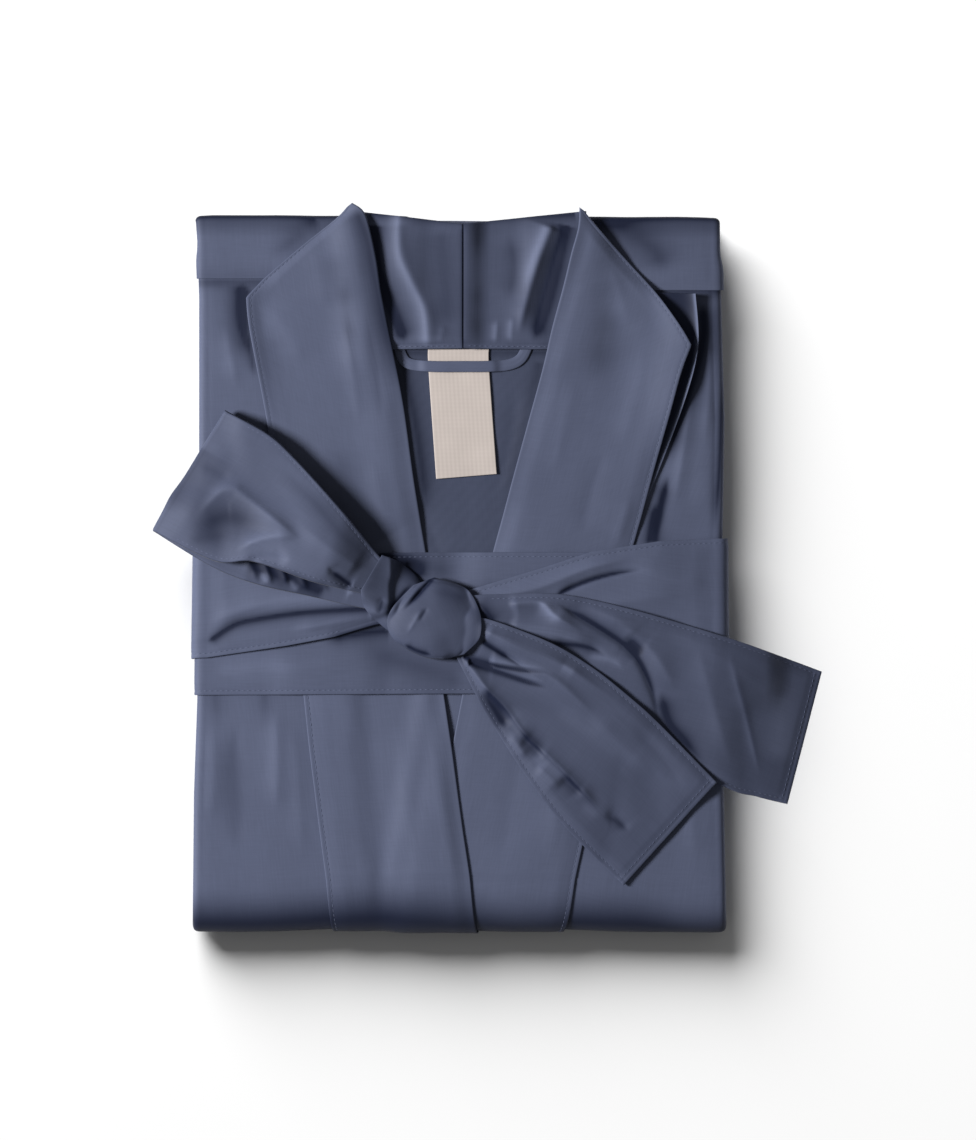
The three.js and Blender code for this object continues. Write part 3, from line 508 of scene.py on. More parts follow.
def cloth_piece(node, sheet, material):
    obj = shell_object(f"{node}_cloth", sheet.lower, sheet.upper, sheet.from_start, sheet.from_a, sheet.nap)
    finish_piece(obj, node, material)
    width, length, area = sheet.flat_size


def finish_piece(obj, node, material):
    obj.data.materials.clear()
    obj.data.materials.append(material)
    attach(obj, BODY)
    if node is not None:
        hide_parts(node)


# ---- Stitches ---------------------------------------------------------------------------
def seam_points(sheet, side, inset):
    """The sheet's top along a line `inset` inside one edge, as points (n, 3)."""
    away, upper = sheet.away[side], sheet.upper
    if side in "se":
        away, upper = away.T, upper.transpose(1, 0, 2)
    line = []
    for distances, points in zip(away, upper):
        order = np.argsort(distances)
        line.append([np.interp(inset, distances[order], points[order, k]) for k in range(3)])
    return np.array(line)


def stitch_row(line, start=0.0, end=1.0):
    """Capsules along a line: (points, faces) with a rounded section and sunk ends."""
    run = np.concatenate([[0], np.cumsum(np.linalg.norm(np.diff(line, axis=0), axis=1))])
    total = run[-1]
    points, faces = [], []
    sides = STITCH_SIDES
    stations, sink, swell = np.array(STITCH_PROFILE).T
    at = start * total + STITCH_PITCH
    while at + STITCH_LENGTH < end * total - STITCH_PITCH:
        where = at + stations * STITCH_LENGTH
        centre = np.stack([np.interp(where, run, line[:, k]) for k in range(3)], axis=-1)
        along = centre[-1] - centre[0]
        along /= np.linalg.norm(along)
        up = np.array([0.0, 0.0, 1.0]) - along * along[2]
        up /= max(np.linalg.norm(up), 1e-6)
        out = np.cross(along, up)
        first = len(points)
        for c, dip, thick in zip(centre, sink, swell):
            for k in range(sides):
                angle = 2 * math.pi * k / sides
                radius = STITCH_RADIUS * thick
                points.append(c + up * (dip + radius * math.sin(angle)) + out * radius * math.cos(angle))
        for ring in range(len(stations) - 1):
            for k in range(sides):
                a = first + ring * sides + k
                b = first + ring * sides + (k + 1) % sides
                faces.append((a, b, b + sides, a + sides))
        faces.append(tuple(first + k for k in reversed(range(sides))))
        faces.append(tuple(first + (len(stations) - 1) * sides + k for k in range(sides)))
        at += STITCH_PITCH
    return points, faces


def stitching(name, lines, material):
    """One object for the stitches of a piece; a line is (points, start share, end share)."""
    points, faces = [], []
    for line, start, end in lines:
        new_points, new_faces = stitch_row(line, start, end)
        faces += [tuple(k + len(points) for k in face) for face in new_faces]
        points += new_points
    obj = make_object(f"{name}_stitches", points, faces)
    finish_piece(obj, None, material)


# ---- Shader maths -----------------------------------------------------------------------
class Value:
    """A node socket that adds Math nodes when it is reckoned with."""

    def __init__(self, tree, socket):
        self.tree, self.socket = tree, socket

    def _math(self, operation, first, second):
        return self.tree.node("ShaderNodeMath", {"operation": operation}, {0: first, 1: second})

    def __add__(self, other):
        return self._math("ADD", self, other)

    def __radd__(self, other):
        return self._math("ADD", other, self)

    def __sub__(self, other):
        return self._math("SUBTRACT", self, other)

    def __rsub__(self, other):
        return self._math("SUBTRACT", other, self)

    def __mul__(self, other):
        return self._math("MULTIPLY", self, other)

    def __rmul__(self, other):
        return self._math("MULTIPLY", other, self)


class Finish:
    """A material with a Principled shader, built through one node method."""

    def __init__(self, name, roughness, sheen):
        self.material = bpy.data.materials.new(name)
        self.material.use_nodes = True
        self.nodes = self.material.node_tree.nodes
        self.links = self.material.node_tree.links
        self.shader = self.nodes["Principled BSDF"]
        self.shader.inputs["Roughness"].default_value = roughness
        self.shader.inputs["Sheen Weight"].default_value = sheen
        self.shader.inputs["Sheen Roughness"].default_value = 0.35
        self.shader.inputs["Specular IOR Level"].default_value = 0.22

    def node(self, kind, settings, inputs, output=0):
        node = self.nodes.new(kind)
        for key, value in settings.items():
            setattr(node, key, value)
        for key, value in inputs.items():
            self.connect(node.inputs[key], value)
        return Value(self, node.outputs[output])

    def connect(self, target, value):
        if isinstance(value, Value):
            self.links.new(value.socket, target)
        else:
            target.default_value = value

    def uv(self, stretch):
        """Cloth coordinates, in metres along the cloth, scaled per axis."""
        at = self.node("ShaderNodeUVMap", {"uv_map": "cloth"}, {})
        return self.node("ShaderNodeMapping", {}, {"Vector": at, "Scale": stretch})

    def noise(self, vector, detail=2.0):
        return self.node("ShaderNodeTexNoise", {}, {"Vector": vector, "Scale": 1.0, "Detail": detail})

    def mix(self, share, first, second):
        """Between two colours; a share over 1 goes past the second."""
        settings = {"data_type": "RGBA", "clamp_result": False, "clamp_factor": False}
        return self.node("ShaderNodeMix", settings, {0: share, 6: first, 7: second}, 2)

    def bump(self, height, distance, strength=1.0):
        inputs = {"Height": height, "Distance": distance, "Strength": strength}
        normal = self.node("ShaderNodeBump", {}, inputs)
        self.connect(self.shader.inputs["Normal"], normal)


def shade(color, factor):
    return (color[0] * factor, color[1] * factor, color[2] * factor, 1.0)


# The bottom fold of the skirt is painted darker, as shade, between these two y.
ROLL_LIGHT_END, ROLL_DARK_START = -158, -178      # y between which the bottom fold darkens
ROLL_PAINTED_SHADE = 0.97
# Painted shade in troughs and painted highlight on crests, per mm of fold.
PAINTED_SHADE_BY_HEIGHT = 0.08                             # tone that 1 mm of fold adds
PAINTED_SHADE_DARKEST, PAINTED_SHADE_LIGHTEST = 0.03, 0.85


def hem_shift(x):
    """How far the painted shade of the bottom fold lies above or below its usual line, along it."""
    return (3.5 * np.exp(-((x + 52) / 30) ** 2) - 2.5 * np.exp(-((x - 16) / 20) ** 2)
            - 5.0 * ease(70, 105, x))


def paint_shade(sheet, tone=0.0, folds=(), strokes=()):
    """Paints shade and light into the satin's colour: painted shade down in the folds, along the
    bottom fold and under dark strokes, painted highlights on crests and light strokes. A `tone`
    below 0 paints the whole piece darker, as shade.
    """
    total = (tone + PAINTED_SHADE_BY_HEIGHT * fold_relief(folds, sheet.x, sheet.y)
             + fold_relief(strokes, sheet.x, sheet.y))
    dark = ease(ROLL_LIGHT_END, ROLL_DARK_START, sheet.y - hem_shift(sheet.x))
    sheet.nap = np.clip(0.5 + 0.5 * (total - ROLL_PAINTED_SHADE * dark), PAINTED_SHADE_DARKEST, PAINTED_SHADE_LIGHTEST)


def satin(name, color, roughness, twill=0.0):
    """Satin: yarns show as faint streaks along the cloth and as an uneven gloss.
    A vertex value paints shade and highlights into its base colour.
    """
    finish = Finish(name, roughness, 0.05)
    yarns = finish.noise(finish.uv((1300.0, 70.0, 1.0)))
    cross = finish.noise(finish.uv((90.0, 1100.0, 1.0)))
    wear = finish.noise(finish.uv((24.0, 9.0, 1.0)), 3.0)
    # This vertex value paints shade and highlights into the base colour: at 0 the full painted shade, at 0.5
    # the plain satin, above that a painted highlight.
    nap = finish.node("ShaderNodeAttribute", {"attribute_name": "nap"}, {}, 2)
    plain = finish.mix(yarns * 0.35 + cross * 0.25 + wear * 0.4, shade(color, 0.74), shade(color, 1.26))
    # Colour of the full painted shade, a deep blue.
    deep = (color[0] * 0.02, color[1] * 0.05, color[2] * 0.14, 1.0)
    base = finish.mix(nap * 2.0, deep, plain)
    finish.connect(finish.shader.inputs["Base Color"], base)
    finish.connect(finish.shader.inputs["Roughness"], (wear - 0.5) * 0.12 + roughness)
    height = yarns * 0.6 + cross * 0.4
    if twill:
        settings = {"bands_direction": "DIAGONAL", "wave_profile": "SIN"}
        ribs = finish.node("ShaderNodeTexWave", settings, {
            "Vector": finish.uv((1.0, 1.0, 0.0)), "Scale": twill, "Distortion": 0.0})
        height = height * 0.5 + ribs * 0.6
    finish.bump(height, 0.00005, 0.7)
    return finish.material


def woven(name, color, roughness, threads):
    """Plain weave for the label, with square crossings."""
    finish = Finish(name, roughness, 0.1)
    along = finish.node("ShaderNodeTexWave", {"bands_direction": "X"}, {
        "Vector": finish.uv((1.0, 1.0, 0.0)), "Scale": threads, "Distortion": 0.0})
    across = finish.node("ShaderNodeTexWave", {"bands_direction": "Y"}, {
        "Vector": finish.uv((1.0, 1.0, 0.0)), "Scale": threads, "Distortion": 0.0})
    wear = finish.noise(finish.uv((60.0, 60.0, 1.0)), 3.0)
    base = finish.mix(along * 0.1 + across * 0.1 + wear * 0.8, shade(color, 0.88), shade(color, 1.12))
    finish.connect(finish.shader.inputs["Base Color"], base)
    finish.connect(finish.shader.inputs["Roughness"], (wear - 0.5) * 0.1 + roughness)
    finish.bump(along * 0.5 + across * 0.5, 0.00006, 0.6)
    return finish.material


def thread(name, color, roughness):
    """Sewing thread, a little lighter than the satin."""
    finish = Finish(name, roughness, 0.1)
    at = finish.node("ShaderNodeTexCoord", {}, {}, 3)
    twist = finish.noise(finish.node("ShaderNodeMapping", {}, {
        "Vector": at, "Scale": (900.0, 900.0, 900.0)}))
    base = finish.mix(twist, shade(color, 0.85), shade(color, 1.2))
    finish.connect(finish.shader.inputs["Base Color"], base)
    return finish.material


# ---- Settings a user may change -----------------------------------------------------------
class RobeClothSettings(bpy.types.PropertyGroup):
    satin_color: FloatVectorProperty(
        name="Satin colour", description="Colour of the satin", subtype="COLOR",
        size=3, min=0, max=1, default=(0.083, 0.097, 0.158))
    # The inside colour is darker than the outside, partly as the duller wrong side of the satin and partly as
    # painted shade in the recess at the neck.
    inside_color: FloatVectorProperty(
        name="Inside colour", description="Colour of the duller inside of the satin", subtype="COLOR",
        size=3, min=0, max=1, default=(0.058, 0.069, 0.115))
    label_color: FloatVectorProperty(
        name="Label colour", description="Colour of the bare neck label", subtype="COLOR",
        size=3, min=0, max=1, default=(0.535, 0.472, 0.437))
    roughness: FloatProperty(
        name="Satin roughness", description="0 is a mirror, 1 is chalk", subtype="FACTOR",
        min=0, max=1, default=0.66)
    twill_scale: FloatProperty(
        name="Twill", description="Diagonal ribs of the inside, per metre over 20", min=0, default=95.0)
    puff: FloatProperty(
        name="Puff", description="How softly the layers rise and fall", unit="LENGTH",
        subtype="DISTANCE", min=0, max=0.004, default=0.0009)


class RobeStageSettings(bpy.types.PropertyGroup):
    floor_color: FloatVectorProperty(
        name="Floor colour", description="Colour of the surface the robe lies on", subtype="COLOR",
        size=3, min=0, max=1, default=(0.75, 0.75, 0.75))
    key_power: FloatProperty(
        name="Key light", description="Power of the soft key light, in watts", min=0, default=88.0)
    wash_power: FloatProperty(
        name="Floor wash", description="Power of the light that only the floor takes, in watts",
        min=0, default=2060.0)
    ambient: FloatProperty(
        name="Ambient light", description="Strength of the white surroundings", min=0, default=0.16)
    camera_height: FloatProperty(
        name="Camera height", description="Height of the camera over the floor", unit="LENGTH",
        subtype="DISTANCE", min=0.5, default=3.53)


finishes = {}


def satin_finish(kind="outside"):
    if kind not in finishes:
        cloth = bpy.context.scene.robe_cloth
        if kind == "inside":
            finishes[kind] = satin("satin inside", cloth.inside_color, 0.55, cloth.twill_scale)
        elif kind == "label":
            finishes[kind] = woven("label weave", cloth.label_color, 0.8, 150.0)
        elif kind == "thread":
            finishes[kind] = thread("sewing thread", shade(cloth.satin_color, 1.12)[:3], 0.5)
        else:
            finishes[kind] = satin("satin", cloth.satin_color, cloth.roughness)
    return finishes[kind]


def billow(sheet, seed, size=34.0, height=1.0):
    """Broad soft rise and fall of cloth that isn't pressed flat, long along the cloth."""
    puff = bpy.context.scene.robe_cloth.puff / MM * height
    across, along = sheet.from_a + 0.12 * sheet.from_start, 0.36 * sheet.from_start
    broad = soft_noise(across, along, size, seed)
    fine = soft_noise(across, along * 0.8, size * 0.4, seed + 1)
    return puff * (0.6 + 0.6 * broad + 0.12 * fine)


def positive(relief):
    """Keeps a relief above 0 without a hard edge where it gets there."""
    return 0.5 * (relief + np.sqrt(relief ** 2 + 0.16))


def settle(sheet, sides="ab", reach=10.0, kept=0.0):
    """From `kept` at the sides up to 1, for cloth that lies down along its edges."""
    share = np.ones_like(sheet.x)
    for side in sides:
        share = share * ease(0, reach, sheet.away[side])
    return kept + (1 - kept) * share


# ---- Folded layers ------------------------------------------------------------------------
BELT_BACK_LOW, BELT_BACK_HIGH, BELT_BACK_SLOPE = -58.0, 14.0, 4.0
LAYERS_PER_SECTION = 3


def stack_outline(x, depth):
    """Section of the stack in the Y-Z plane; `depth` nears 1 at the heart of the stack."""
    edge = top_rim(x) + RIM - depth * STACK_HEIGHT / 2
    upper = edge - RIM
    axis = float(roll_axis(x))
    points = [(y, stack_top(x, y) * (1 - depth / 2)) for y in np.linspace(upper, axis, 100)]
    for turn in np.linspace(0, math.pi, 49)[1:-1]:
        points.append((float(roll_out(axis, turn, depth)), ROLL + math.cos(turn) * ROLL * (1 - depth)))
    low, high, slope = BELT_BACK_LOW, BELT_BACK_HIGH, BELT_BACK_SLOPE
    floor = [*np.linspace(axis - ROLL_LONG + ROLL, low - slope - 1, 40),
             *np.linspace(low - slope, low, 8)[1:],
             *np.linspace(low, high, 26)[1:], *np.linspace(high, high + slope + 1, 8)[1:],
             *np.linspace(high + slope + 1, upper, 50)[1:-1]]
    for y in floor:
        belt = ease(low - slope - 1, low - 1, y) * ease(high + slope + 1, high + 1, y)
        points.append((y, max(depth * stack_top(x, y) / 2, BELT_RECESS * belt)))
    for part in np.linspace(depth / 2, 1 - depth / 2, 82)[:-1]:
        points.append((edge - layer_inset(part), stack_top(x, upper) * part))
    return points


def layer_crease(whole):
    """How far a section's edge lies in between its layers, at a share of its height."""
    fine = whole * LAYERS_PER_SECTION % 1
    return 0.32 * math.exp(-(min(fine, 1 - fine) / 0.09) ** 2)


def layer_inset(part):
    """How far the top edge lies in at a share of the height: deep between sections and a
    little between the layers of a section."""
    whole = part * SECTIONS % 1
    return RIM * (1 - rim_sin(abs(whole * math.pi))) + layer_crease(whole)


def side_rings():
    """(depth, inset) of the rings round a side's folded sections."""
    rings = []
    turns = np.linspace(0, math.pi, 49)
    for section, skip in ((0, 0), (1, 1)):
        for turn in turns[skip:(-1 if section else None)]:
            depth = section * 0.5 + (1 - rim_cos(turn)) / 4
            crease = layer_crease(depth * 2 % 1) if 0.1 < turn < 3.04 else 0
            rings.append((float(depth), float(RIM * (1 - rim_sin(turn)) + crease)))
    return rings


def folded_layers():
    rings = []

    def add_ring(depth, x_at):
        outline = np.array(stack_outline(x_at(0.0), depth))
        x = x_at(outline[:, 0])
        rings.append(np.stack([np.broadcast_to(x, len(outline)), outline[:, 0], outline[:, 1]], axis=-1))

    around = side_rings()
    for depth, inset in reversed(around):
        add_ring(depth, lambda y, inset=inset: left_rim(y) - RIM + inset)
    for share in np.linspace(0, 1, 26)[1:-1]:
        add_ring(0.0, lambda y, share=share: left_rim(y) * (1 - share) + right_rim(y) * share)
    for depth, inset in around:
        add_ring(depth, lambda y, inset=inset: right_rim(y) + RIM - inset)

    grid = waved(np.array(rings))
    rows, count = grid.shape[:2]
    index = np.arange(rows * count).reshape(rows, count)
    ahead = np.roll(index, -1, axis=1)
    faces = np.stack([index[:-1], ahead[:-1], ahead[1:], index[1:]], axis=-1).reshape(-1, 4).tolist()
    faces += [index[0][::-1].tolist(), index[-1].tolist()]
    outline_length = np.concatenate([
        np.zeros((rows, 1)), np.cumsum(np.linalg.norm(np.diff(grid, axis=1), axis=2), axis=1)], axis=1)
    across = np.concatenate([
        np.zeros((1, count)), np.cumsum(np.linalg.norm(np.diff(grid, axis=0), axis=2), axis=0)])
    uv = np.stack([across, outline_length], axis=-1).reshape(-1, 2)
    obj = make_object("folded_layers_cloth", grid.reshape(-1, 3), faces, uv)
    finish_piece(obj, "folded_layers", satin_finish())


def waved(grid):
    """Draws the layers' edges in a little, unevenly, away from the top and the floor."""
    x, y, z = grid[..., 0], grid[..., 1], grid[..., 2]
    free = ease(0.0, 3.0, z) * ease(26.0, 22.0, z)
    wave_x = free * 0.55 * (soft_noise(y, z * 5, 26.0, 41) - 1)
    wave_y = free * 0.55 * (soft_noise(x, z * 5, 26.0, 43) - 1)
    side_x = ease(RIM * 2, 0, x - left_rim(y) + RIM) - ease(RIM * 2, 0, right_rim(y) + RIM - x)
    side_y = -ease(-RIM * 5, -RIM, y - top_rim(x))
    out = grid.copy()
    out[..., 0] -= side_x * wave_x
    out[..., 1] -= side_y * wave_y
    return out


# ---- Body panels ----------------------------------------------------------------------------
Inner = namedtuple("Inner", "y left right")
FRONT_INNER = (
    Inner(176, -88, 60), Inner(60, -78, 52), Inner(0, -70, 30), Inner(-60, -74, -26), Inner(-182, -62, -46),
)
YOKE_INNER = (Inner(176, -40, 26), Inner(130, -40, 26))
FRONT_TOP = {"left": 151.0, "right": 146.0}
YOKE_HEM = {"left": 144.8, "right": 139.0}
PANEL_TURN = 1.92
YOKE_TURN = 1.3
YOKE_TOP_TURN = 1.9
UNDER_EDGE = ROLL_Y - ROLL_ARC - 0.77 * ROLL      # where the fronts end under the fold


def panel(side, ys, turn, inner_table=FRONT_INNER, spacing=1.9):
    """Cloth from its hidden inner side to the side fold and `turn` radians round it."""
    y = np.asarray(ys, float)
    rim = left_rim(y) if side == "left" else right_rim(y)
    out = -1 if side == "left" else 1
    inner = look_up(inner_table, "y", y, side)
    flat = np.linspace(0, 1, round(np.abs(rim - inner).max() / spacing) + 1)[None, :]
    columns = inner[:, None] * (1 - flat) + rim[:, None] * flat
    past = np.array([0.02, 0.08, 0.2, 0.4, 0.7, 1.0, 1.4, 1.8, 2.2, 2.7, 3.2, 3.7, 4.2, 4.6, 5.0])
    past = past[past < turn * RIM - 0.5]
    ends = turn * RIM - LAST_STEPS
    over = rim[:, None] + out * np.concatenate([past, ends])[None, :]
    x = np.concatenate([columns, over], axis=1)
    return Sheet(x, np.repeat(y[:, None], x.shape[1], axis=1))


LEFT_FRONT_FOLDS = (
    Fold([(-106, -70), (-105.5, -95), (-106, -123)], 5.0, 1.2, 0.2),
    Fold([(-125, -74), (-126.5, -108), (-124, -146)], 4.0, -1.0, 0.0, (0.4, 0.4)),
    Fold([(-138, -76), (-137, -100), (-139, -128)], 4.5, 0.7),
    Fold([(-131, 124), (-129, 108), (-125, 88)], 4.0, 0.8, 0.0, (0.4, 0.4)),
    Fold([(-123.6, 142), (-124.6, 128), (-121.6, 102)], 3.0, -1.4, 0.0, (0.1, 0.5)),
    Fold([(-127, 60), (-124, 36), (-118, 18)], 5.0, 0.7),
    Fold([(-140, 40), (-137, 22), (-139, 10)], 4.0, -0.5),
    Fold([(-98, -74), (-95, -110), (-93, -150)], 4.0, 0.5),
)
RIGHT_FRONT_FOLDS = (
    Fold([(104, 100), (99, 66), (93, 30)], 4.5, 1.3, 0.25),
    Fold([(115.4, 99), (114.6, 60), (112.6, 16)], 1.6, -0.8),
    Fold([(109, 128), (111, 96), (108, 60)], 3.4, 0.6),
    Fold([(90.4, 46), (88, 30), (84, 14)], 2.4, -1.0),
    Fold([(104, -84), (101, -112), (104, -150)], 6.0, 0.8),
    Fold([(84, -76), (80, -104), (82, -138)], 5.0, -0.8),
    Fold([(68, -70), (64, -104), (60, -140)], 4.0, 0.6),
)
# Painted shade on the fronts: the shadows of the lapels and yokes along their edges and darker creases, with
# a few painted highlights.
LEFT_FRONT_PAINTED_SHADE = (
    ShadeStroke([(-122.6, 143), (-123.4, 131), (-122.2, 118), (-120, 98)], 3.4, -1.3, 0.0, (0.1, 0.6)),
    ShadeStroke([(-121, 120), (-118.6, 106), (-116.6, 94)], 1.4, -0.6, 0.0, (0.3, 0.3)),
    ShadeStroke([(-131, 108), (-128.6, 102), (-127, 95)], 2.2, 0.1),
    ShadeStroke([(-150, 142.8), (-112, 142.8)], 2.0, -0.6, 0.0, (0.01, 0.01)),
    ShadeStroke([(-128, -72), (-127, -108), (-121, -150)], 6.0, -0.22, 0.0, (0.4, 0.5)),
    ShadeStroke([(-137, -60), (-134, -86)], 4.0, -0.35, 0.0, (0.02, 0.9)),
    ShadeStroke([(-112, -60), (-112, -82)], 2.4, -0.35, 0.0, (0.02, 0.9)),
)
RIGHT_FRONT_PAINTED_SHADE = (
    ShadeStroke([(106.4, 135), (108, 118), (103.6, 98), (95, 72), (89, 50)], 3.6, -1.0, 0.0, (0.1, 0.2)),
    ShadeStroke([(90.6, 48), (85.6, 28), (83, 12)], 2.0, -1.1, 0.0, (0.3, 0.02)),
    ShadeStroke([(84, 34), (81, 20), (80, 10)], 2.0, -0.7, 0.0, (0.3, 0.02)),
    ShadeStroke([(80, 137.5), (120, 138.4)], 2.0, -0.7, 0.0, (0.01, 0.01)),
    ShadeStroke([(115.4, 99), (114.6, 60), (112.6, 16)], 0.7, -0.8),
    ShadeStroke([(110, 90), (106, 60), (102, 24)], 5.0, 0.25),
)


def fronts():
    for side, folds, nap, seed in (
            ("left", LEFT_FRONT_FOLDS, LEFT_FRONT_PAINTED_SHADE, 3), ("right", RIGHT_FRONT_FOLDS, RIGHT_FRONT_PAINTED_SHADE, 5)):
        sheet = panel(side, run_of(FRONT_TOP[side], UNDER_EDGE, 1.7), PANEL_TURN, spacing=1.7)
        flat = ease(0, 9, sheet.from_b) * ease(0, 16, sheet.from_end)
        relief = positive((billow(sheet, seed) + fold_relief(folds, sheet.x, sheet.y)) * flat)
        lay(sheet, PANEL_WALL, relief)
        paint_shade(sheet, -0.04, folds, nap)
        cloth_piece(f"front_{side}", sheet, satin_finish())


# Painted shade on the yokes: darker along the top fold, under the right lapel, by the hem and by the collar.
YOKE_PAINTED_SHADE = (
    ShadeStroke([(-150, 176.2), (-12, 176.2), (120, 175.2)], 2.7, -1.7, 0.0, (0.01, 0.01)),
    ShadeStroke([(52, 176), (70, 168), (84, 158), (88, 146)], 7.0, -0.6, 0.0, (0.05, 0.2)),
    ShadeStroke([(-150, 146), (-108, 146)], 4.0, -0.2, 0.0, (0.01, 0.01)),
    ShadeStroke([(-86, 174), (-96, 165), (-112, 155)], 4.0, -0.4, 0.0, (0.05, 0.5)),
)


def yokes():
    for side, seed in (("left", 11), ("right", 13)):
        top = float(top_rim(LEFT_END if side == "left" else RIGHT_END))
        flat_rows = run_of(YOKE_HEM[side], top, 1.7)[:-len(EDGE_STEPS)]
        past = np.array([0, 0.02, 0.08, 0.2, 0.4, 0.7, 1.1, 1.6, 2.1, 2.7, 3.3, 3.9, 4.5, 5.0, 5.4])
        over = top + np.concatenate([past, YOKE_TOP_TURN * RIM - LAST_STEPS])
        sheet = panel(side, [*flat_rows, *over], YOKE_TURN, YOKE_INNER)
        relief = positive(billow(sheet, seed, 24.0, 0.8)) * settle(sheet, "bs", 9.0, 0.1)
        lay(sheet, PANEL_WALL, relief)
        paint_shade(sheet, 0.0, (), YOKE_PAINTED_SHADE)
        cloth_piece(f"yoke_{side}", sheet, satin_finish())


# ---- Neck -----------------------------------------------------------------------------------
BACK_INSIDE = (Ruling(-66, 124, 50, 124), Ruling(-60, 60, 38, 60), Ruling(-52, -12, 18, -12))
LABEL = (Ruling(-30.1, 109.5, 0.4, 109.5), Ruling(-29.8, 98.6, 0.6, 98.6), Ruling(-26.0, 44.6, 4.3, 47.1))
HANGER_LINE = ((-45.0, 112.0), (-43.2, 106.0), (-39.5, 102.3), (-29.6, 100.9), (-14.0, 100.8),
               (0.4, 100.9), (10.5, 101.8), (16.5, 105.0), (20.0, 112.0))
TAPE_WIDTH = 5.5
SEAM_LEFT, SEAM_RIGHT = -12.65, -12.35      # the two halves meet here
COLLAR_LEFT = (Ruling(-62, 178.0, SEAM_LEFT, 172.3), Ruling(-64, 158, SEAM_LEFT, 154),
               Ruling(-58, 109.2, SEAM_LEFT, 109.8))
COLLAR_RIGHT = (Ruling(SEAM_RIGHT, 172.3, 49, 178.6), Ruling(SEAM_RIGHT, 154, 50, 158),
                Ruling(SEAM_RIGHT, 109.8, 42, 109.2))
COLLAR_FOLDS = (
    Fold([(-44.4, 178), (-44, 158), (-38, 143), (-31.4, 129), (-29.6, 110)], 4.6, 1.8, 0.3, (0.02, 0.05)),
    Fold([(-56, 170), (-55, 150), (-47, 130), (-44, 120)], 4.0, -0.9),
    Fold([(32, 172), (25, 154), (19, 134), (15, 116)], 3.4, 2.4, -0.2, (0.05, 0.25)),
    Fold([(37, 168), (31, 150), (26, 132), (24, 116)], 4.0, -1.4),
    Fold([(4.4, 124), (3.4, 112)], 1.8, 0.8),
    Fold([(11.9, 126), (10.9, 113)], 1.5, 0.6),
    Fold([(-22, 122), (-24, 112)], 2.0, 0.5),
    Fold([(-60, 175), (-12, 169.5), (44, 175)], 5.0, 1.0),
    Fold([(-12.5, 170), (-12.5, 110)], 0.8, -0.35, 0.0, (0.02, 0.02)),
)
# Painted highlights on the collar's ridges and painted shade in its valleys and along its top edge; a darker
# line marks the centre seam.
COLLAR_PAINTED_SHADE = (
    ShadeStroke([(-45, 178), (-45, 158), (-38.8, 143), (-32.6, 129), (-31, 110)], 3.0, 0.7, 0.0, (0.02, 0.05)),
    ShadeStroke([(-24, 170), (-22, 145), (-20, 118)], 5.0, -0.25, 0.0, (0.1, 0.2)),
    ShadeStroke([(-57, 172), (-56, 150), (-48, 130), (-41, 112)], 3.0, -1.1, 0.0, (0.02, 0.1)),
    ShadeStroke([(-44, 173), (-41, 156), (-35, 141), (-28, 127), (-27, 112)], 3.0, -0.4, 0.0, (0.05, 0.1)),
    ShadeStroke([(29, 172), (22, 154), (16.5, 136)], 2.6, 0.7, 0.0, (0.05, 0.4)),
    ShadeStroke([(39, 172), (34, 150), (28, 128), (22, 112)], 3.0, -1.1, 0.0, (0.02, 0.15)),
    ShadeStroke([(10, 168), (13, 150), (9, 132)], 3.4, -0.35),
    ShadeStroke([(11.9, 126), (10.9, 112)], 1.2, 0.5),
    ShadeStroke([(4.4, 125), (3.4, 112)], 1.2, 0.4),
    ShadeStroke([(-12.5, 174), (-12.5, 108)], 0.45, -0.8, 0.0, (0.01, 0.01)),
    ShadeStroke([(-60, 177), (-12, 174), (44, 177)], 2.0, -0.6, 0.0, (0.01, 0.01)),
)
NECK_FOLDS = (
    Fold([(-52, 96), (-45, 60), (-40, 20)], 5.0, 0.9),
    Fold([(26, 98), (18, 66), (8, 30)], 5.0, 0.8),
    Fold([(-36, 40), (-30, 20), (-22, 4)], 4.0, -0.6),
    Fold([(14, 92), (10, 60), (2, 36)], 3.0, -0.6),
)
# Painted shade on the inside of the back: the lapels' shadows beside them and under the collar's seam.
NECK_PAINTED_SHADE = (
    ShadeStroke([(-43, 104), (-35, 64), (-30, 20)], 3.4, -0.7, 0.0, (0.02, 0.3)),
    ShadeStroke([(26, 104), (16, 66), (6, 28)], 2.6, -0.4, 0.0, (0.02, 0.3)),
    ShadeStroke([(-52, 108), (-12, 107), (38, 108)], 1.6, -0.5, 0.0, (0.01, 0.01)),
)


def tape(line, width):
    centre = smooth_line(line, 10)
    run = np.concatenate([[0], np.cumsum(np.hypot(*np.diff(centre, axis=0).T))])
    at = np.linspace(0, run[-1], 90)
    centre = np.stack([np.interp(at, run, centre[:, k]) for k in (0, 1)], axis=-1)
    along = np.gradient(centre, axis=0)
    along /= np.linalg.norm(along, axis=1, keepdims=True)
    v = np.array([0, 0.015, 0.06, 0.14, 0.26, 0.38, 0.5, 0.62, 0.74, 0.86, 0.94, 0.985, 1]) - 0.5
    x = centre[:, :1] - along[:, 1:] * v[None, :] * width
    y = centre[:, 1:] + along[:, :1] * v[None, :] * width
    return Sheet(x, y)


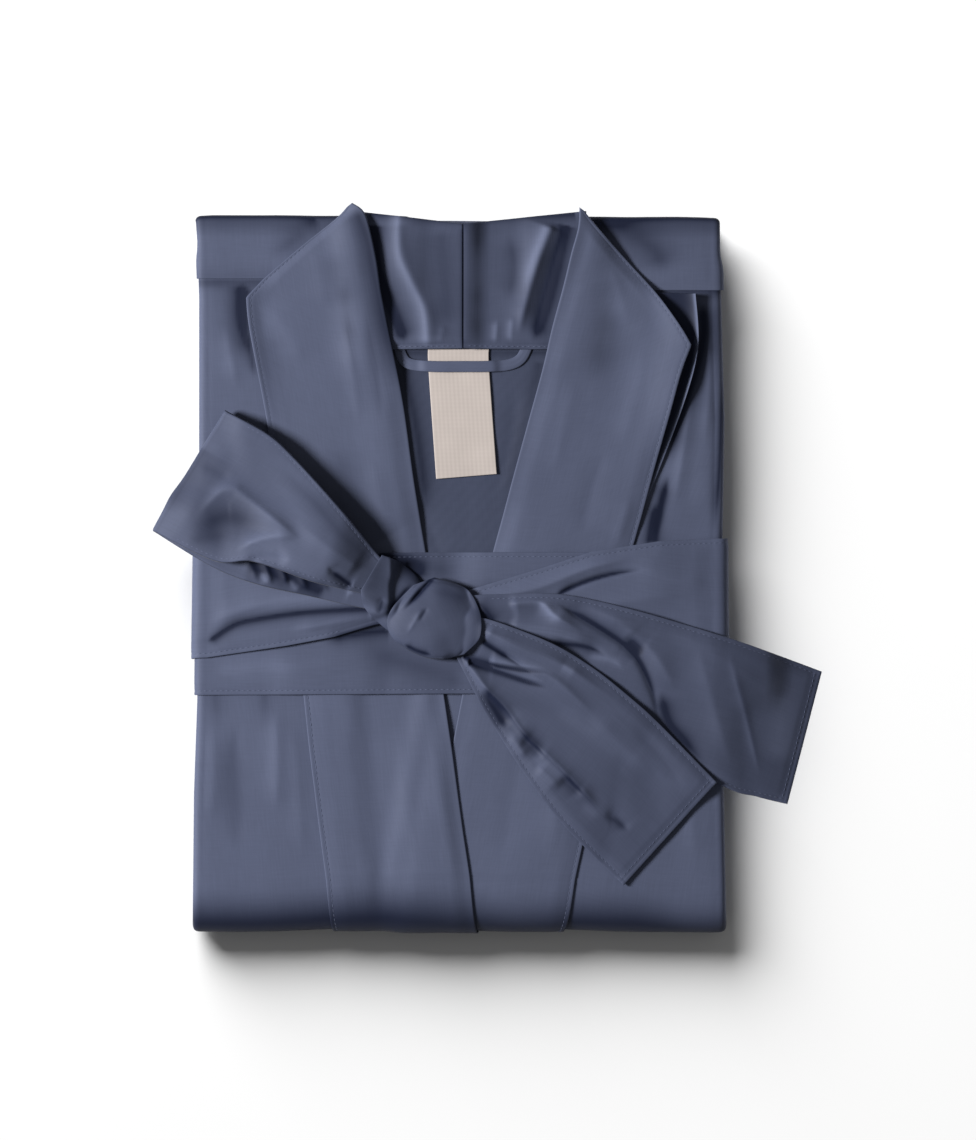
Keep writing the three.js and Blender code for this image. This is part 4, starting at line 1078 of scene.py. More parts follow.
def neck():
    sheet = ruled(BACK_INSIDE, 2.0)
    relief = positive(billow(sheet, 17, 30.0, 0.9) + fold_relief(NECK_FOLDS, sheet.x, sheet.y))
    lay(sheet, PANEL_WALL, relief)
    # The inside of the back is painted a little darker overall, as shade.
    paint_shade(sheet, -0.1, NECK_FOLDS, NECK_PAINTED_SHADE)
    cloth_piece("back_inside", sheet, satin_finish("inside"))

    sheet = ruled(LABEL, 1.3)
    relief = positive(0.25 + 0.3 * soft_noise(sheet.x, sheet.y, 14.0, 19))
    relief = relief + 0.3 * np.exp(-sheet.from_end / 2.0)
    lay(sheet, TRIM_WALL, relief, soften=1)
    cloth_piece("label", sheet, satin_finish("label"))

    sheet = tape(HANGER_LINE, TAPE_WIDTH)
    bow = 0.9 * np.sin(math.pi * sheet.u) ** 2
    surface = 0.15 * np.cos((sheet.v - 0.5) * 2 * math.pi) - 0.15 * np.exp(-((sheet.v - 0.5) / 0.08) ** 2)
    lay(sheet, 0.8, bow, surface, soften=1, edge={"a": 0.6, "b": 0.6})
    obj = shell_object(
        "hanger_loop_cloth", sheet.lower, sheet.upper, sheet.from_start, sheet.from_a, sheet.nap)
    finish_piece(obj, "hanger_loop", satin_finish())


def collar_back():
    for side, plan, seed in (("left", COLLAR_LEFT, 23), ("right", COLLAR_RIGHT, 29)):
        sheet = ruled(plan, 1.1)
        inside = ease(0, 6, sheet.from_end)
        relief = positive((1.2 + billow(sheet, seed, 22.0, 0.6)
                           + fold_relief(COLLAR_FOLDS, sheet.x, sheet.y)) * (0.15 + 0.85 * inside))
        relief = relief + edge_relief(sheet, "e", depth=0.2)
        rolled = BAND_WALL + 1.0 * np.exp(-(sheet.from_start / 4.0) ** 2)
        lay(sheet, rolled, relief, place=hanging_out(0.2), edge={"s": 1.0})
        # The back collar is painted darker overall, as shade.
        paint_shade(sheet, -0.25, COLLAR_FOLDS, COLLAR_PAINTED_SHADE)
        cloth_piece(f"collar_back_{side}", sheet, satin_finish())
        line = seam_points(sheet, "e", 1.3)
        stitching(f"collar_back_{side}", [(line, 0.0, 1.0)], satin_finish("thread"))


# ---- Lapels and front bands -------------------------------------------------------------------
# Side a is the rolled edge at the neck opening, side b the stitched outer edge.
LAPEL_RIGHT_UNDER = (
    Ruling(81.0, 138.0, 103.6, 137.2), Ruling(89.0, 111.0, 104.9, 111.1), Ruling(87.0, 84.0, 98.4, 84.1),
    Ruling(72.0, 44.0, 83.6, 44.1), Ruling(67.0, 31.0, 77.8, 31.6),
)
LAPEL_LEFT = (
    Ruling(-68.0, 182.6, -70.5, 180.6), Ruling(-62.1, 178.1, -76.5, 174.5),
    Ruling(-58.6, 167.6, -94.3, 160.3), Ruling(-55.6, 153.1, -112.6, 144.5),
    Ruling(-55.6, 153.1, -112.6, 144.5), Ruling(-53.6, 138.6, -121.0, 135.4),
    Ruling(-53.6, 138.6, -121.0, 135.4), Ruling(-49.9, 119.6, -119.4, 119.6),
    Ruling(-42.6, 83.1, -112.6, 84.1), Ruling(-37.1, 44.1, -105.6, 44.1),
    Ruling(-31.1, 7.6, -99.1, 7.6), Ruling(-29.0, -4.0, -97.5, -4.0),
)
LAPEL_RIGHT = (
    Ruling(45.6, 180.3, 47.6, 178.9), Ruling(44.9, 170.1, 56.6, 168.3), Ruling(41.4, 157.1, 69.4, 153.8),
    Ruling(37.4, 140.6, 84.0, 137.6), Ruling(32.2, 121.3, 95.9, 121.1), Ruling(29.4, 109.1, 101.6, 111.4),
    Ruling(29.4, 109.1, 101.6, 111.4),
    Ruling(26.4, 96.6, 96.6, 98.1), Ruling(20.9, 76.6, 90.7, 76.6), Ruling(13.4, 49.1, 83.0, 49.1),
    Ruling(7.4, 26.6, 77.0, 26.6), Ruling(2.4, 8.1, 72.4, 10.1), Ruling(0.0, -4.0, 69.0, -3.0),
)
LAPEL_LEFT_FOLDS = (
    Fold([(-88, 164), (-84, 148), (-82, 128)], 6.0, 0.6, 0.2),
    Fold([(-71, 126), (-68, 100), (-64, 70)], 2.6, 0.5),
    Fold([(-61, 130), (-57, 104), (-52, 72)], 2.6, -0.45),
    Fold([(-112, 132), (-100, 118), (-92, 100)], 6.0, 0.6),
    Fold([(-104, 70), (-96, 44), (-86, 20)], 6.0, 0.6),
    Fold([(-58, 56), (-54, 34), (-46, 12)], 5.0, 0.5),
    Fold([(-78, 40), (-72, 24), (-66, 8)], 4.0, -0.5),
)
LAPEL_RIGHT_FOLDS = (
    Fold([(60, 154), (66, 138), (70, 120)], 6.0, 0.9),
    Fold([(78, 112), (74, 88), (66, 60)], 6.0, 0.6),
    Fold([(44, 96), (38, 72), (32, 44)], 5.0, 0.55),
    Fold([(58, 60), (52, 40), (46, 16)], 4.0, -0.5),
    Fold([(72, 36), (68, 24), (64, 12)], 3.5, 0.5),
)
# Painted shade on the lapels: dark along the left roll and where the bow loop's shadow falls, with a few
# painted highlights.
LAPEL_LEFT_PAINTED_SHADE = (
    ShadeStroke([(-67, 181), (-61, 166), (-57.4, 148), (-52, 122), (-44.5, 92), (-39, 62)],
           4.4, -0.8, 0.0, (0.05, 0.5)),
    ShadeStroke([(-80, 160), (-77, 146), (-71, 128)], 5.0, -0.2),
    ShadeStroke([(-71, 146), (-71, 128), (-69, 108)], 3.0, -0.2),
    ShadeStroke([(-71, 130), (-69, 112), (-66, 92)], 1.4, -0.25),
    ShadeStroke([(-61, 130), (-57, 104), (-52, 72)], 1.6, -0.2),
    ShadeStroke([(-84, 62), (-66, 40), (-50, 14)], 7.0, -0.3, 0.0, (0.3, 0.05)),
    ShadeStroke([(-117, 137), (-112, 128), (-106, 110)], 4.0, 0.2),
)
LAPEL_RIGHT_PAINTED_SHADE = (
    ShadeStroke([(103, 112), (99, 92), (92, 70), (85, 50)], 1.5, -0.6, 0.0, (0.02, 0.4)),
    ShadeStroke([(59, 142), (60, 124), (58, 104)], 5.0, 0.22),
)


def roll_wall(sheet):
    return BAND_WALL + (0.1 + 0.9 * ease(96, 168, sheet.y)) * np.exp(-(sheet.from_a / 4.5) ** 2)


def lapels():
    sheet = ruled(LAPEL_RIGHT_UNDER, 1.6)
    rim = np.exp(-sheet.from_b / 2.4) * ease(60, 100, sheet.y)
    lay(sheet, PANEL_WALL, 3.6 * rim, place=hanging_out(0))
    # The under layer is painted dark, as shade, with a painted highlight along its raised rim.
    sheet.nap = np.clip(0.06 + 0.75 * np.exp(-(sheet.from_b / 1.3) ** 2), 0, 0.6)
    cloth_piece("lapel_right_under", sheet, satin_finish())

    for side, plan, folds, nap, seed, lifted in (
            ("left", LAPEL_LEFT, LAPEL_LEFT_FOLDS, LAPEL_LEFT_PAINTED_SHADE, 31, 3.0),
            ("right", LAPEL_RIGHT, LAPEL_RIGHT_FOLDS, LAPEL_RIGHT_PAINTED_SHADE, 37, 1.8)):
        sheet = ruled(plan, 1.5)
        flat = ease(0, 14, sheet.from_end)
        raised = 0.25 + (1.1 if side == "left" else 0.3) * ease(84, 160, sheet.y)
        roll = raised * np.exp(-((sheet.from_a - 11.0) / 9.0) ** 2) * ease(0, 0.1, sheet.u)
        low, high = ((60, 118) if side == "left" else (66, 100))
        lift = (lifted * np.exp(-(sheet.from_b / 6.0) ** 2)
                * ease(low - 24, high, sheet.y) * ease(146, 132, sheet.y))
        relief = positive((0.4 + billow(sheet, seed, 36.0, 0.85)
                           + fold_relief(folds, sheet.x, sheet.y)) * flat) * settle(sheet)
        relief = relief + roll + lift + edge_relief(sheet, "b")
        lay(sheet, roll_wall(sheet), relief, soften=5, place=hanging_out(0.2), edge={"a": 0.9})
        paint_shade(sheet, 0.0, folds, nap)
        cloth_piece(f"lapel_{side}", sheet, satin_finish())
        lines = [(seam_points(sheet, "b", SEAM_INSET), 0.14, 0.97)]
        stitching(f"lapel_{side}", lines, satin_finish("thread"))


Band = namedtuple("Band", "y inner outer")
BAND_EDGES = {
    "right": (Band(-56, -11.5, 63.0), Band(-90, -18.1, 57.4), Band(-182, -37.6, 38.4),
              Band(-212, -43.6, 32.4)),
    "left": (Band(-56, -23.2, -93.2), Band(-90, -18.1, -89.6), Band(-182, -5.6, -78.1),
             Band(-212, -2.0, -74.2)),
}
BAND_FOLDS = {
    "right": (
        Fold([(40, -76), (36, -110), (30, -150)], 6.0, 0.7),
        Fold([(18, -80), (12, -112), (6, -150)], 5.0, -0.5),
    ),
    "left": (
        Fold([(-44, -72), (-42, -108), (-36, -150)], 7.0, 0.7),
        Fold([(-68, -70), (-64, -112), (-58, -156)], 5.0, -0.6),
        Fold([(-26, -96), (-20, -130), (-16, -164)], 4.0, 0.4),
    ),
}


def bands():
    for side, seed in (("right", 43), ("left", 47)):
        y = run_of(-56.0, UNDER_EDGE + 4.4, 1.8)
        inner, outer = (look_up(BAND_EDGES[side], "y", y, edge) for edge in ("inner", "outer"))
        sheet = between(y, inner, outer, 1.8)
        flat = ease(0, 10, sheet.from_start) * ease(0, 24, sheet.from_end)
        relief = positive((0.3 + billow(sheet, seed, 36.0, 0.8)
                           + fold_relief(BAND_FOLDS[side], sheet.x, sheet.y)) * flat) * settle(sheet)
        relief = relief + edge_relief(sheet, "b")
        wall = BAND_WALL + 0.1 * np.exp(-(sheet.from_a / 3.0) ** 2)
        lay(sheet, wall, relief, edge={"a": 0.6})
        paint_shade(sheet, 0.0, BAND_FOLDS[side])
        cloth_piece(f"band_{side}", sheet, satin_finish())
        stitching(f"band_{side}", [(seam_points(sheet, "b", SEAM_INSET), 0.0, 0.97)], satin_finish("thread"))


# ---- Sash ---------------------------------------------------------------------------------------
SashEdge = namedtuple("SashEdge", "x low high")
FRONT_BELT = (SashEdge(-146, -63.6, 6.8), SashEdge(-20, -62.8, 8.0), SashEdge(117, -62.8, 8.0))
LEFT_WRAP = (SashEdge(-146, -45.6, 24.4), SashEdge(-101, -38.9, 18.1), SashEdge(-77, -34.4, 11.6),
             SashEdge(-57, -28.4, 6.1), SashEdge(-44, -26.0, 1.0))
RIGHT_WRAP = (SashEdge(-13, -28.4, -11.9), SashEdge(27, -40.5, 0.2), SashEdge(52, -46.0, 8.4),
              SashEdge(86, -52.0, 13.6), SashEdge(117, -55.0, 15.0))
SASH_MIDDLE = -26.0
BELT_FOOT = 1.2
BACK_END_INSET = 0.5
FRONT_BELT_FOLDS = (
    Fold([(-140, -52), (-100, -50), (-60, -46)], 4.0, 0.8),
    Fold([(-40, -52), (10, -56), (60, -54)], 4.0, 0.7),
    Fold([(20, -48), (60, -57), (100, -58)], 3.0, -0.6),
)
LEFT_WRAP_FOLDS = (
    Fold([(-146, -38), (-139, -35.9), (-127.6, -28.6), (-116, -25.4), (-91, -21.9), (-58, -20)],
         2.2, -1.9, -0.3, (0.05, 0.02)),
    Fold([(-142, -28), (-116, -19), (-88, -15), (-58, -13)], 4.0, 1.2, 0.2, (0.2, 0.05)),
    Fold([(-84, -35.4), (-66, -31), (-54, -27)], 1.8, -1.5, 0.0, (0.35, 0.02)),
    Fold([(-100, -31), (-80, -28), (-56, -24.5)], 3.0, 1.1, 0.0, (0.3, 0.05)),
    Fold([(-120, 0), (-90, -4), (-58, -5)], 5.0, 1.5, 0.0, (0.4, 0.02)),
    Fold([(-142, 14), (-120, 10), (-96, 4)], 5.0, 0.7),
)
RIGHT_WRAP_FOLDS = (
    Fold([(33, -14), (47.4, -7.4), (62.6, -2.9), (80, -0.5)], 1.0, -2.2, 0.3, (0.25, 0.4)),
    Fold([(-6, -16), (24, -10), (50, 0), (74, 6)], 3.6, 1.6, 0.2, (0.02, 0.3)),
    Fold([(-8, -22), (20, -24), (60, -18), (104, -12)], 5.0, 1.2, 0.0, (0.02, 0.4)),
    Fold([(-4, -19), (20, -18), (44, -14)], 1.8, -1.2, 0.0, (0.02, 0.5)),
    Fold([(70, 2), (90, -4), (112, -8)], 5.0, 0.7),
)
# Painted shade on the sash: the knot's and the loop's shadows beside them and darker creases, with painted
# highlights on ridges.
FRONT_BELT_PAINTED_SHADE = (
    ShadeStroke([(-140, -50), (-94, -48)], 8.0, 0.2),
    ShadeStroke([(-66, -40), (-40, -48), (-8, -58)], 8.0, -0.45, 0.0, (0.3, 0.2)),
    ShadeStroke([(-50, 5), (-34, 2), (-14, -3)], 4.0, -0.3, 0.0, (0.3, 0.3)),
    ShadeStroke([(-56, 6), (-42, 2), (-28, -5)], 4.5, -1.1, 0.0, (0.05, 0.3)),
    ShadeStroke([(-84, -37), (-66, -33), (-50, -31)], 2.4, -0.9, 0.0, (0.3, 0.02)),
    ShadeStroke([(-16, -10), (-4, -12), (8, -9)], 2.0, -0.6),
)
LEFT_WRAP_PAINTED_SHADE = (
    ShadeStroke([(-141, -37), (-139, -35.9), (-127.6, -28.6), (-116, -25.4), (-91, -21.9), (-58, -20)],
           1.5, -1.1, -0.5, (0.05, 0.02)),
    ShadeStroke([(-84, -35.4), (-66, -31), (-54, -27)], 1.4, -0.6, 0.0, (0.35, 0.02)),
    ShadeStroke([(-120, -22), (-96, -17), (-62, -15)], 2.4, 0.25),
)
RIGHT_WRAP_PAINTED_SHADE = (
    ShadeStroke([(33, -14), (47.4, -7.4), (62.6, -2.9), (80, -0.5)], 0.8, -1.5, 0.3, (0.1, 0.5)),
    ShadeStroke([(36, -11), (50, -4), (66, 0)], 1.6, 0.3),
    ShadeStroke([(-6, -20), (10, -20), (36, -13.4)], 1.6, -0.8, 0.0, (0.02, 0.3)),
    ShadeStroke([(-9, -14), (-4, -20), (0, -26)], 2.4, -0.9),
)


def sash_side(side):
    """Stations along the sash from the foot of a side up to the rim's flat."""
    rim = float(left_rim(SASH_MIDDLE) if side == "left" else right_rim(SASH_MIDDLE))
    out = -1 if side == "left" else 1
    quarter = RIM * math.pi / 2
    drop = float(stack_top(rim, SASH_MIDDLE)) - RIM - BELT_FOOT
    turns = [0, 0.02, 0.08, 0.2, 0.45, 0.8, 1.2, 1.7, 2.2, 2.8, 3.4, 4.0, 4.5, quarter]
    downs = quarter + np.linspace(0, drop - 0.4, 10)[1:]
    ends = quarter + drop - LAST_STEPS[1:]
    return rim + out * np.concatenate([turns, downs, ends])


def sash_sheet(stations, edges, columns_spacing=1.7):
    x = np.asarray(stations, float)
    low, high = look_up(edges, "x", x, "low"), look_up(edges, "x", x, "high")
    v = spaced(np.abs(high - low).max(), columns_spacing)[None, :]
    y = low[:, None] * (1 - v) + high[:, None] * v
    return Sheet(np.repeat(x[:, None], v.shape[1], axis=1), y)


def sash_stretch(node, sheet, on_top, base, seed, size, folds, nap, tone, lines):
    """Lays a wound stretch, loose on top of the stack and taut down its sides. `lines`
    gives the start and end share of the stitches along each side."""
    loose = base + billow(sheet, seed, size, 0.8) + fold_relief(folds, sheet.x, sheet.y)
    relief = positive(loose * (0.12 + 0.88 * on_top)) * settle(sheet, "ab", 8.0, 0.15)
    lay(sheet, SASH_WALL, relief + edge_relief(sheet, "ab"), place=round_sides, soften=5)
    paint_shade(sheet, tone, folds, nap)
    cloth_piece(node, sheet, satin_finish())
    return [(seam_points(sheet, side, SEAM_INSET), *line) for side, line in zip("ab", lines)]


def sash():
    left = sash_side("left")[::-1]
    right = sash_side("right")
    rim_left, rim_right = left[-1], right[0]
    flat = np.linspace(rim_left, rim_right, round((rim_right - rim_left) / 1.4))[1:-1]

    sheet = sash_sheet([*left, *flat, *right], FRONT_BELT)
    on_top = ease(rim_left - 2, rim_left + 12, sheet.x) * ease(rim_right + 2, rim_right - 12, sheet.x)
    sash_lines = sash_stretch("belt_front", sheet, on_top, 0.2, 53, 34.0, FRONT_BELT_FOLDS,
                              FRONT_BELT_PAINTED_SHADE, -0.1, ((0.0, 1.0), (0.0, 1.0)))

    stations = [*left, *np.linspace(rim_left, LEFT_WRAP[-1].x, 92)[1:]]
    sheet = sash_sheet(stations, LEFT_WRAP, 0.9)
    on_top = ease(rim_left - 2, rim_left + 10, sheet.x)
    sash_lines += sash_stretch("belt_wrap_left", sheet, on_top, 0.5, 59, 26.0, LEFT_WRAP_FOLDS,
                               LEFT_WRAP_PAINTED_SHADE, 0.0, ((0.0, 0.8), (0.0, 1.0)))

    stations = [*np.linspace(RIGHT_WRAP[0].x, rim_right, 120)[:-1], *right]
    sheet = sash_sheet(stations, RIGHT_WRAP, 0.9)
    on_top = ease(rim_right + 2, rim_right - 10, sheet.x)
    sash_lines += sash_stretch("belt_wrap_right", sheet, on_top, 0.5, 61, 26.0, RIGHT_WRAP_FOLDS,
                               RIGHT_WRAP_PAINTED_SHADE, -0.05, ((0.2, 1.0), (0.0, 1.0)))

    start = float(left_rim(SASH_MIDDLE)) - RIM + BACK_END_INSET
    end = float(right_rim(SASH_MIDDLE)) + RIM - BACK_END_INSET
    edges = (SashEdge(start, BELT_BACK_LOW, BELT_BACK_HIGH), SashEdge(end, BELT_BACK_LOW, BELT_BACK_HIGH))
    sheet = sash_sheet(run_of(start, end, 3.0), edges, 3.0)
    rounding = np.sqrt(1 - (1 - np.clip(sheet.nearest_edge / 0.5, 0, 1)) ** 2)
    sheet.lower = np.stack([sheet.x, sheet.y, SASH_WALL / 2 * (1 - rounding)], axis=-1)
    sheet.upper = np.stack([sheet.x, sheet.y, SASH_WALL / 2 * (1 + rounding)], axis=-1)
    cloth_piece("belt_back", sheet, satin_finish())
    stitching("sash", sash_lines, satin_finish("thread"))


# ---- Bow ----------------------------------------------------------------------------------------
TAIL_UPPER = (
    Ruling(-8.0, -13.5, -8.0, -28.4), Ruling(4.0, -13.0, 4.0, -36.0), Ruling(35.9, -13.0, 35.9, -55.9),
    Ruling(71.4, -20.4, 68.4, -80.9), Ruling(118.9, -34.4, 117.4, -108.9),
    Ruling(143.4, -42.9, 134.4, -114.4), Ruling(167.6, -51.9, 150.0, -118.3),
)
TAIL_LOWER = (
    Ruling(-9.1, -25.9, -16.6, -43.4), Ruling(0.1, -25.4, -14.6, -47.1), Ruling(30.7, -36.9, -1.1, -72.6),
    Ruling(52.4, -49.7, 14.1, -96.9), Ruling(71.5, -64.9, 26.4, -114.4),
    Ruling(85.6, -77.7, 39.9, -130.9), Ruling(114.3, -107.0, 67.7, -158.7),
)
TAIL_UPPER_FOLDS = (
    Fold([(10, -18), (25.6, -16.6), (34, -24), (48, -32)], 3.0, 2.4, 0.2, (0.1, 0.35)),
    Fold([(34, -17), (57.4, -31.4), (72.9, -42.9), (81.9, -60.9), (85, -78)], 2.0, -2.0, 0.4, (0.15, 0.3)),
    Fold([(46, -18), (66, -27), (84, -44), (94, -62)], 5.0, 1.7, 0.2),
    Fold([(68, -34), (78, -43)], 4.0, -1.2),
    Fold([(28, -37), (48, -39), (60, -44)], 1.4, -1.8),
    Fold([(10, -28), (34, -31), (58, -38)], 3.0, 1.5, 0.0, (0.1, 0.3)),
    Fold([(119.9, -40), (128.9, -72.4), (136.4, -105)], 2.2, 0.7, 0.3),
    Fold([(104, -36), (112, -66), (122, -100)], 5.0, 0.8),
    Fold([(88, -30), (112, -42), (140, -60)], 5.0, 0.6),
)
TAIL_LOWER_FOLDS = (
    Fold([(-13, -44), (-2.6, -58), (9, -70), (17, -81), (27, -91), (45, -108.5), (56, -121)],
         2.2, 2.0, 0.4, (0.05, 0.15)),
    Fold([(-4, -61), (4, -70), (10, -80)], 3.0, -1.6, 0.0, (0.25, 0.2)),
    Fold([(16, -84), (22, -89), (28, -95)], 2.6, -1.6, 0.0, (0.3, 0.3)),
    Fold([(36, -104), (42, -109), (47, -114)], 2.4, -1.3, 0.0, (0.3, 0.3)),
    Fold([(9, -84), (14, -88), (19, -95)], 3.0, 1.2),
    Fold([(24, -98), (30, -104), (36, -110)], 3.0, 1.2),
    Fold([(-4, -35), (11.4, -45), (24, -54)], 1.2, -2.4, 0.0, (0.02, 0.5)),
    Fold([(-12.6, -43), (6.4, -49.2), (33.4, -52)], 1.1, -2.6, 0.0, (0.02, 0.4)),
    Fold([(-10, -46.9), (5.4, -52.0), (31.9, -60.4)], 1.1, -2.4, 0.0, (0.02, 0.4)),
    Fold([(-2, -31), (16, -40), (40, -50), (62, -66)], 3.4, 2.0, 0.0, (0.05, 0.5)),
    Fold([(0, -47), (18, -50), (34, -56), (56, -76)], 3.0, 1.8, 0.0, (0.05, 0.5)),
    Fold([(57.4, -123.4), (64, -124), (70.4, -132.4)], 2.6, -1.0),
    Fold([(50, -70), (66, -88), (84, -104)], 6.0, 1.0),
    Fold([(72, -78), (88, -96), (98, -112)], 4.0, -0.6),
)
# Painted shade in the tails' creases and pockets, and painted highlights on their ridges.
TAIL_UPPER_PAINTED_SHADE = (
    ShadeStroke([(24, -15.5), (30, -21), (37, -27)], 2.4, 0.9),
    ShadeStroke([(37, -19), (57.4, -31), (72.9, -43), (81.9, -60.9), (84.4, -76)], 1.0, -1.0, 0.4, (0.15, 0.4)),
    ShadeStroke([(69, -35), (74, -39), (78, -44)], 2.6, -0.7),
    ShadeStroke([(86, -60), (90, -76), (98, -86), (110, -100)], 3.0, -0.8, 0.0, (0.2, 0.4)),
    ShadeStroke([(30, -37.6), (48, -39), (60, -44)], 1.0, -0.9, 0.0, (0.2, 0.4)),
    ShadeStroke([(12, -30), (34, -33), (56, -40)], 1.6, 0.45, 0.0, (0.1, 0.4)),
    ShadeStroke([(48, -44), (62, -46), (68, -52)], 1.6, 0.5),
    ShadeStroke([(119.9, -42), (128.9, -72.4), (136.4, -104)], 0.9, -0.25, 0.3),
    ShadeStroke([(-8, -16), (-2, -22), (4, -30)], 3.0, -0.9),
    ShadeStroke([(143, -50), (147, -72), (144, -100)], 7.0, 0.36, 0.0, (0.2, 0.2)),
)
TAIL_LOWER_PAINTED_SHADE = (
    ShadeStroke([(-2.6, -59), (9, -71), (17, -82), (27, -92), (45, -109.5), (56, -122)],
           1.2, -0.5, -0.3, (0.05, 0.1)),
    ShadeStroke([(-3, -58), (3, -69), (10, -83)], 3.0, -0.65, 0.0, (0.4, 0.3)),
    ShadeStroke([(15, -80), (21, -85), (29, -92)], 2.4, -0.5, 0.0, (0.4, 0.4)),
    ShadeStroke([(36, -102), (42, -107), (49, -114)], 2.4, -0.35, 0.0, (0.4, 0.4)),
    ShadeStroke([(11, -67), (15, -74), (20, -82)], 2.0, 0.4, 0.0, (0.4, 0.4)),
    ShadeStroke([(20, -92), (29, -100), (38, -109)], 3.2, 0.3, 0.0, (0.4, 0.4)),
    ShadeStroke([(46, -116), (52, -122), (56, -126)], 2.6, 0.3, 0.0, (0.4, 0.4)),
    ShadeStroke([(55, -124), (63, -126), (72, -133)], 1.6, -0.4, 0.0, (0.4, 0.4)),
    ShadeStroke([(-3.1, -36.5), (4, -41), (11.4, -45.5)], 0.8, -1.2, 0.0, (0.02, 0.3)),
    ShadeStroke([(-12.6, -44.4), (6.4, -49.4), (20, -51.4), (33.4, -52)], 0.8, -1.1, 0.0, (0.02, 0.4)),
    ShadeStroke([(-10, -46.9), (5.4, -51.9), (20, -57), (31.9, -60.4)], 0.8, -1.1, 0.0, (0.02, 0.3)),
    ShadeStroke([(36, -48), (44, -52)], 2.2, 0.6),
    ShadeStroke([(0, -46), (16, -48.6), (30, -50)], 1.0, 0.5, 0.0, (0.02, 0.3)),
    ShadeStroke([(2, -49.6), (18, -54), (30, -56.6)], 1.0, 0.4, 0.0, (0.02, 0.3)),
)
LOOP_UNDER = (
    Ruling(-50.1, 1.6, -51.6, -19.9), Ruling(-54.8, 4.1, -60.2, -20.4), Ruling(-73.6, 27.1, -91.6, -13.4),
    Ruling(-96.6, 53.1, -116.1, -7.9), Ruling(-109.9, 66.1, -137.8, 0.6), Ruling(-130.2, 78.3, -167.0, 18.2),
)
LOOP_OVER = (
    Ruling(-50.1, 3.1, -51.6, -15.9), Ruling(-54.8, 6.6, -61.6, -12.9), Ruling(-73.6, 29.6, -87.1, -6.9),
    Ruling(-96.6, 55.1, -116.6, 3.1), Ruling(-109.9, 67.1, -136.0, 3.4), Ruling(-130.2, 78.3, -167.0, 18.2),
)
LOOP_FOLDS = (
    Fold([(-146, 24), (-139, 33), (-133, 38.6), (-127, 39.6), (-122.6, 37), (-105.6, 23.6), (-92, 13)],
         3.6, 2.4, -0.3, (0.4, 0.3)),
    Fold([(-148, 12), (-138, 18), (-125, 22), (-108, 18)], 7.0, -1.6, 0.0, (0.4, 0.4)),
    Fold([(-126, 8), (-116, 13.6), (-103.6, 16), (-94, 15)], 2.6, 1.6, 0.2),
    Fold([(-122, 2), (-112, 5), (-98, 4)], 2.6, -1.6),
    Fold([(-144, 52), (-136, 49), (-128, 44)], 3.0, -0.6),
    Fold([(-80, 1), (-75, -3.5), (-68, -9)], 1.8, -1.8, 0.0, (0.3, 0.1)),
    Fold([(-96, 24), (-80, 11), (-64, 0)], 5.0, 1.2, 0.0, (0.4, 0.1)),
)
LOOP_UNDER_FOLDS = (
    Fold([(-122, 8), (-117, -2), (-115, -8)], 1.6, 1.6),
    Fold([(-114, 8), (-110, -2), (-108, -9)], 1.4, 1.9),
    Fold([(-106, 6), (-102, -3), (-100, -10)], 1.4, 1.8),
    Fold([(-97, 4), (-93, -5), (-90, -12)], 1.5, 1.5),
    Fold([(-87, 2), (-83, -6), (-80, -13)], 1.4, 1.2),
)
# Painted shade in the loop's pocket and creases and beneath its open edge, with painted highlights on its
# ridges.
LOOP_PAINTED_SHADE = (
    ShadeStroke([(-145, 26), (-139, 33.4), (-133, 39.4), (-127, 40.6), (-122, 38), (-105.6, 24.6), (-95, 16)],
           2.4, 0.3, 0.0, (0.3, 0.4)),
    ShadeStroke([(-152, 18), (-138, 24), (-125, 25), (-106, 18)], 7.5, -0.55, 0.0, (0.4, 0.4)),
    ShadeStroke([(-154, 12), (-140, 15), (-126, 17)], 5.0, -0.35, 0.0, (0.4, 0.4)),
    ShadeStroke([(-124, 9.6), (-116, 13.6), (-103.6, 16.4), (-95, 15.6)], 1.6, 0.45),
    ShadeStroke([(-144, 62), (-154, 44), (-162, 26)], 8.0, -0.38, 0.0, (0.05, 0.3)),
    ShadeStroke([(-146, 51), (-136, 49), (-126, 45)], 3.2, -0.14),
    ShadeStroke([(-79, -1), (-74, -4.6), (-68, -9)], 1.2, -1.2, 0.0, (0.3, 0.1)),
    ShadeStroke([(-108, 52), (-88, 34), (-72, 16), (-58, 5)], 4.0, -0.35, 0.0, (0.4, 0.02)),
    ShadeStroke([(-117, 2.4), (-103, -1), (-87, -7), (-78, -9.6)], 1.4, -0.5, 0.0, (0.1, 0.1)),
)
LOOP_UNDER_PAINTED_SHADE = (
    ShadeStroke([(-122, 3), (-108, -1), (-96, -6), (-80, -11)], 4.4, -1.0, 0.0, (0.1, 0.1)),
    ShadeStroke([(-114, -2), (-110, -8)], 1.6, 0.8),
    ShadeStroke([(-100, -5), (-95, -12)], 1.6, 0.8),
    ShadeStroke([(-71, -11), (-68, -12.4)], 1.8, 1.2),
)
LOOP_HIGH = 9.0
LOOP_TURN = 0.7              # the loop's pressed end starts to turn this far from its edge
TURN_COUNT = 9
SASH_WIDTH = 70.0
LOOP_CUT_WIDTH = 0.072       # metres: 2 mm over the sash's width


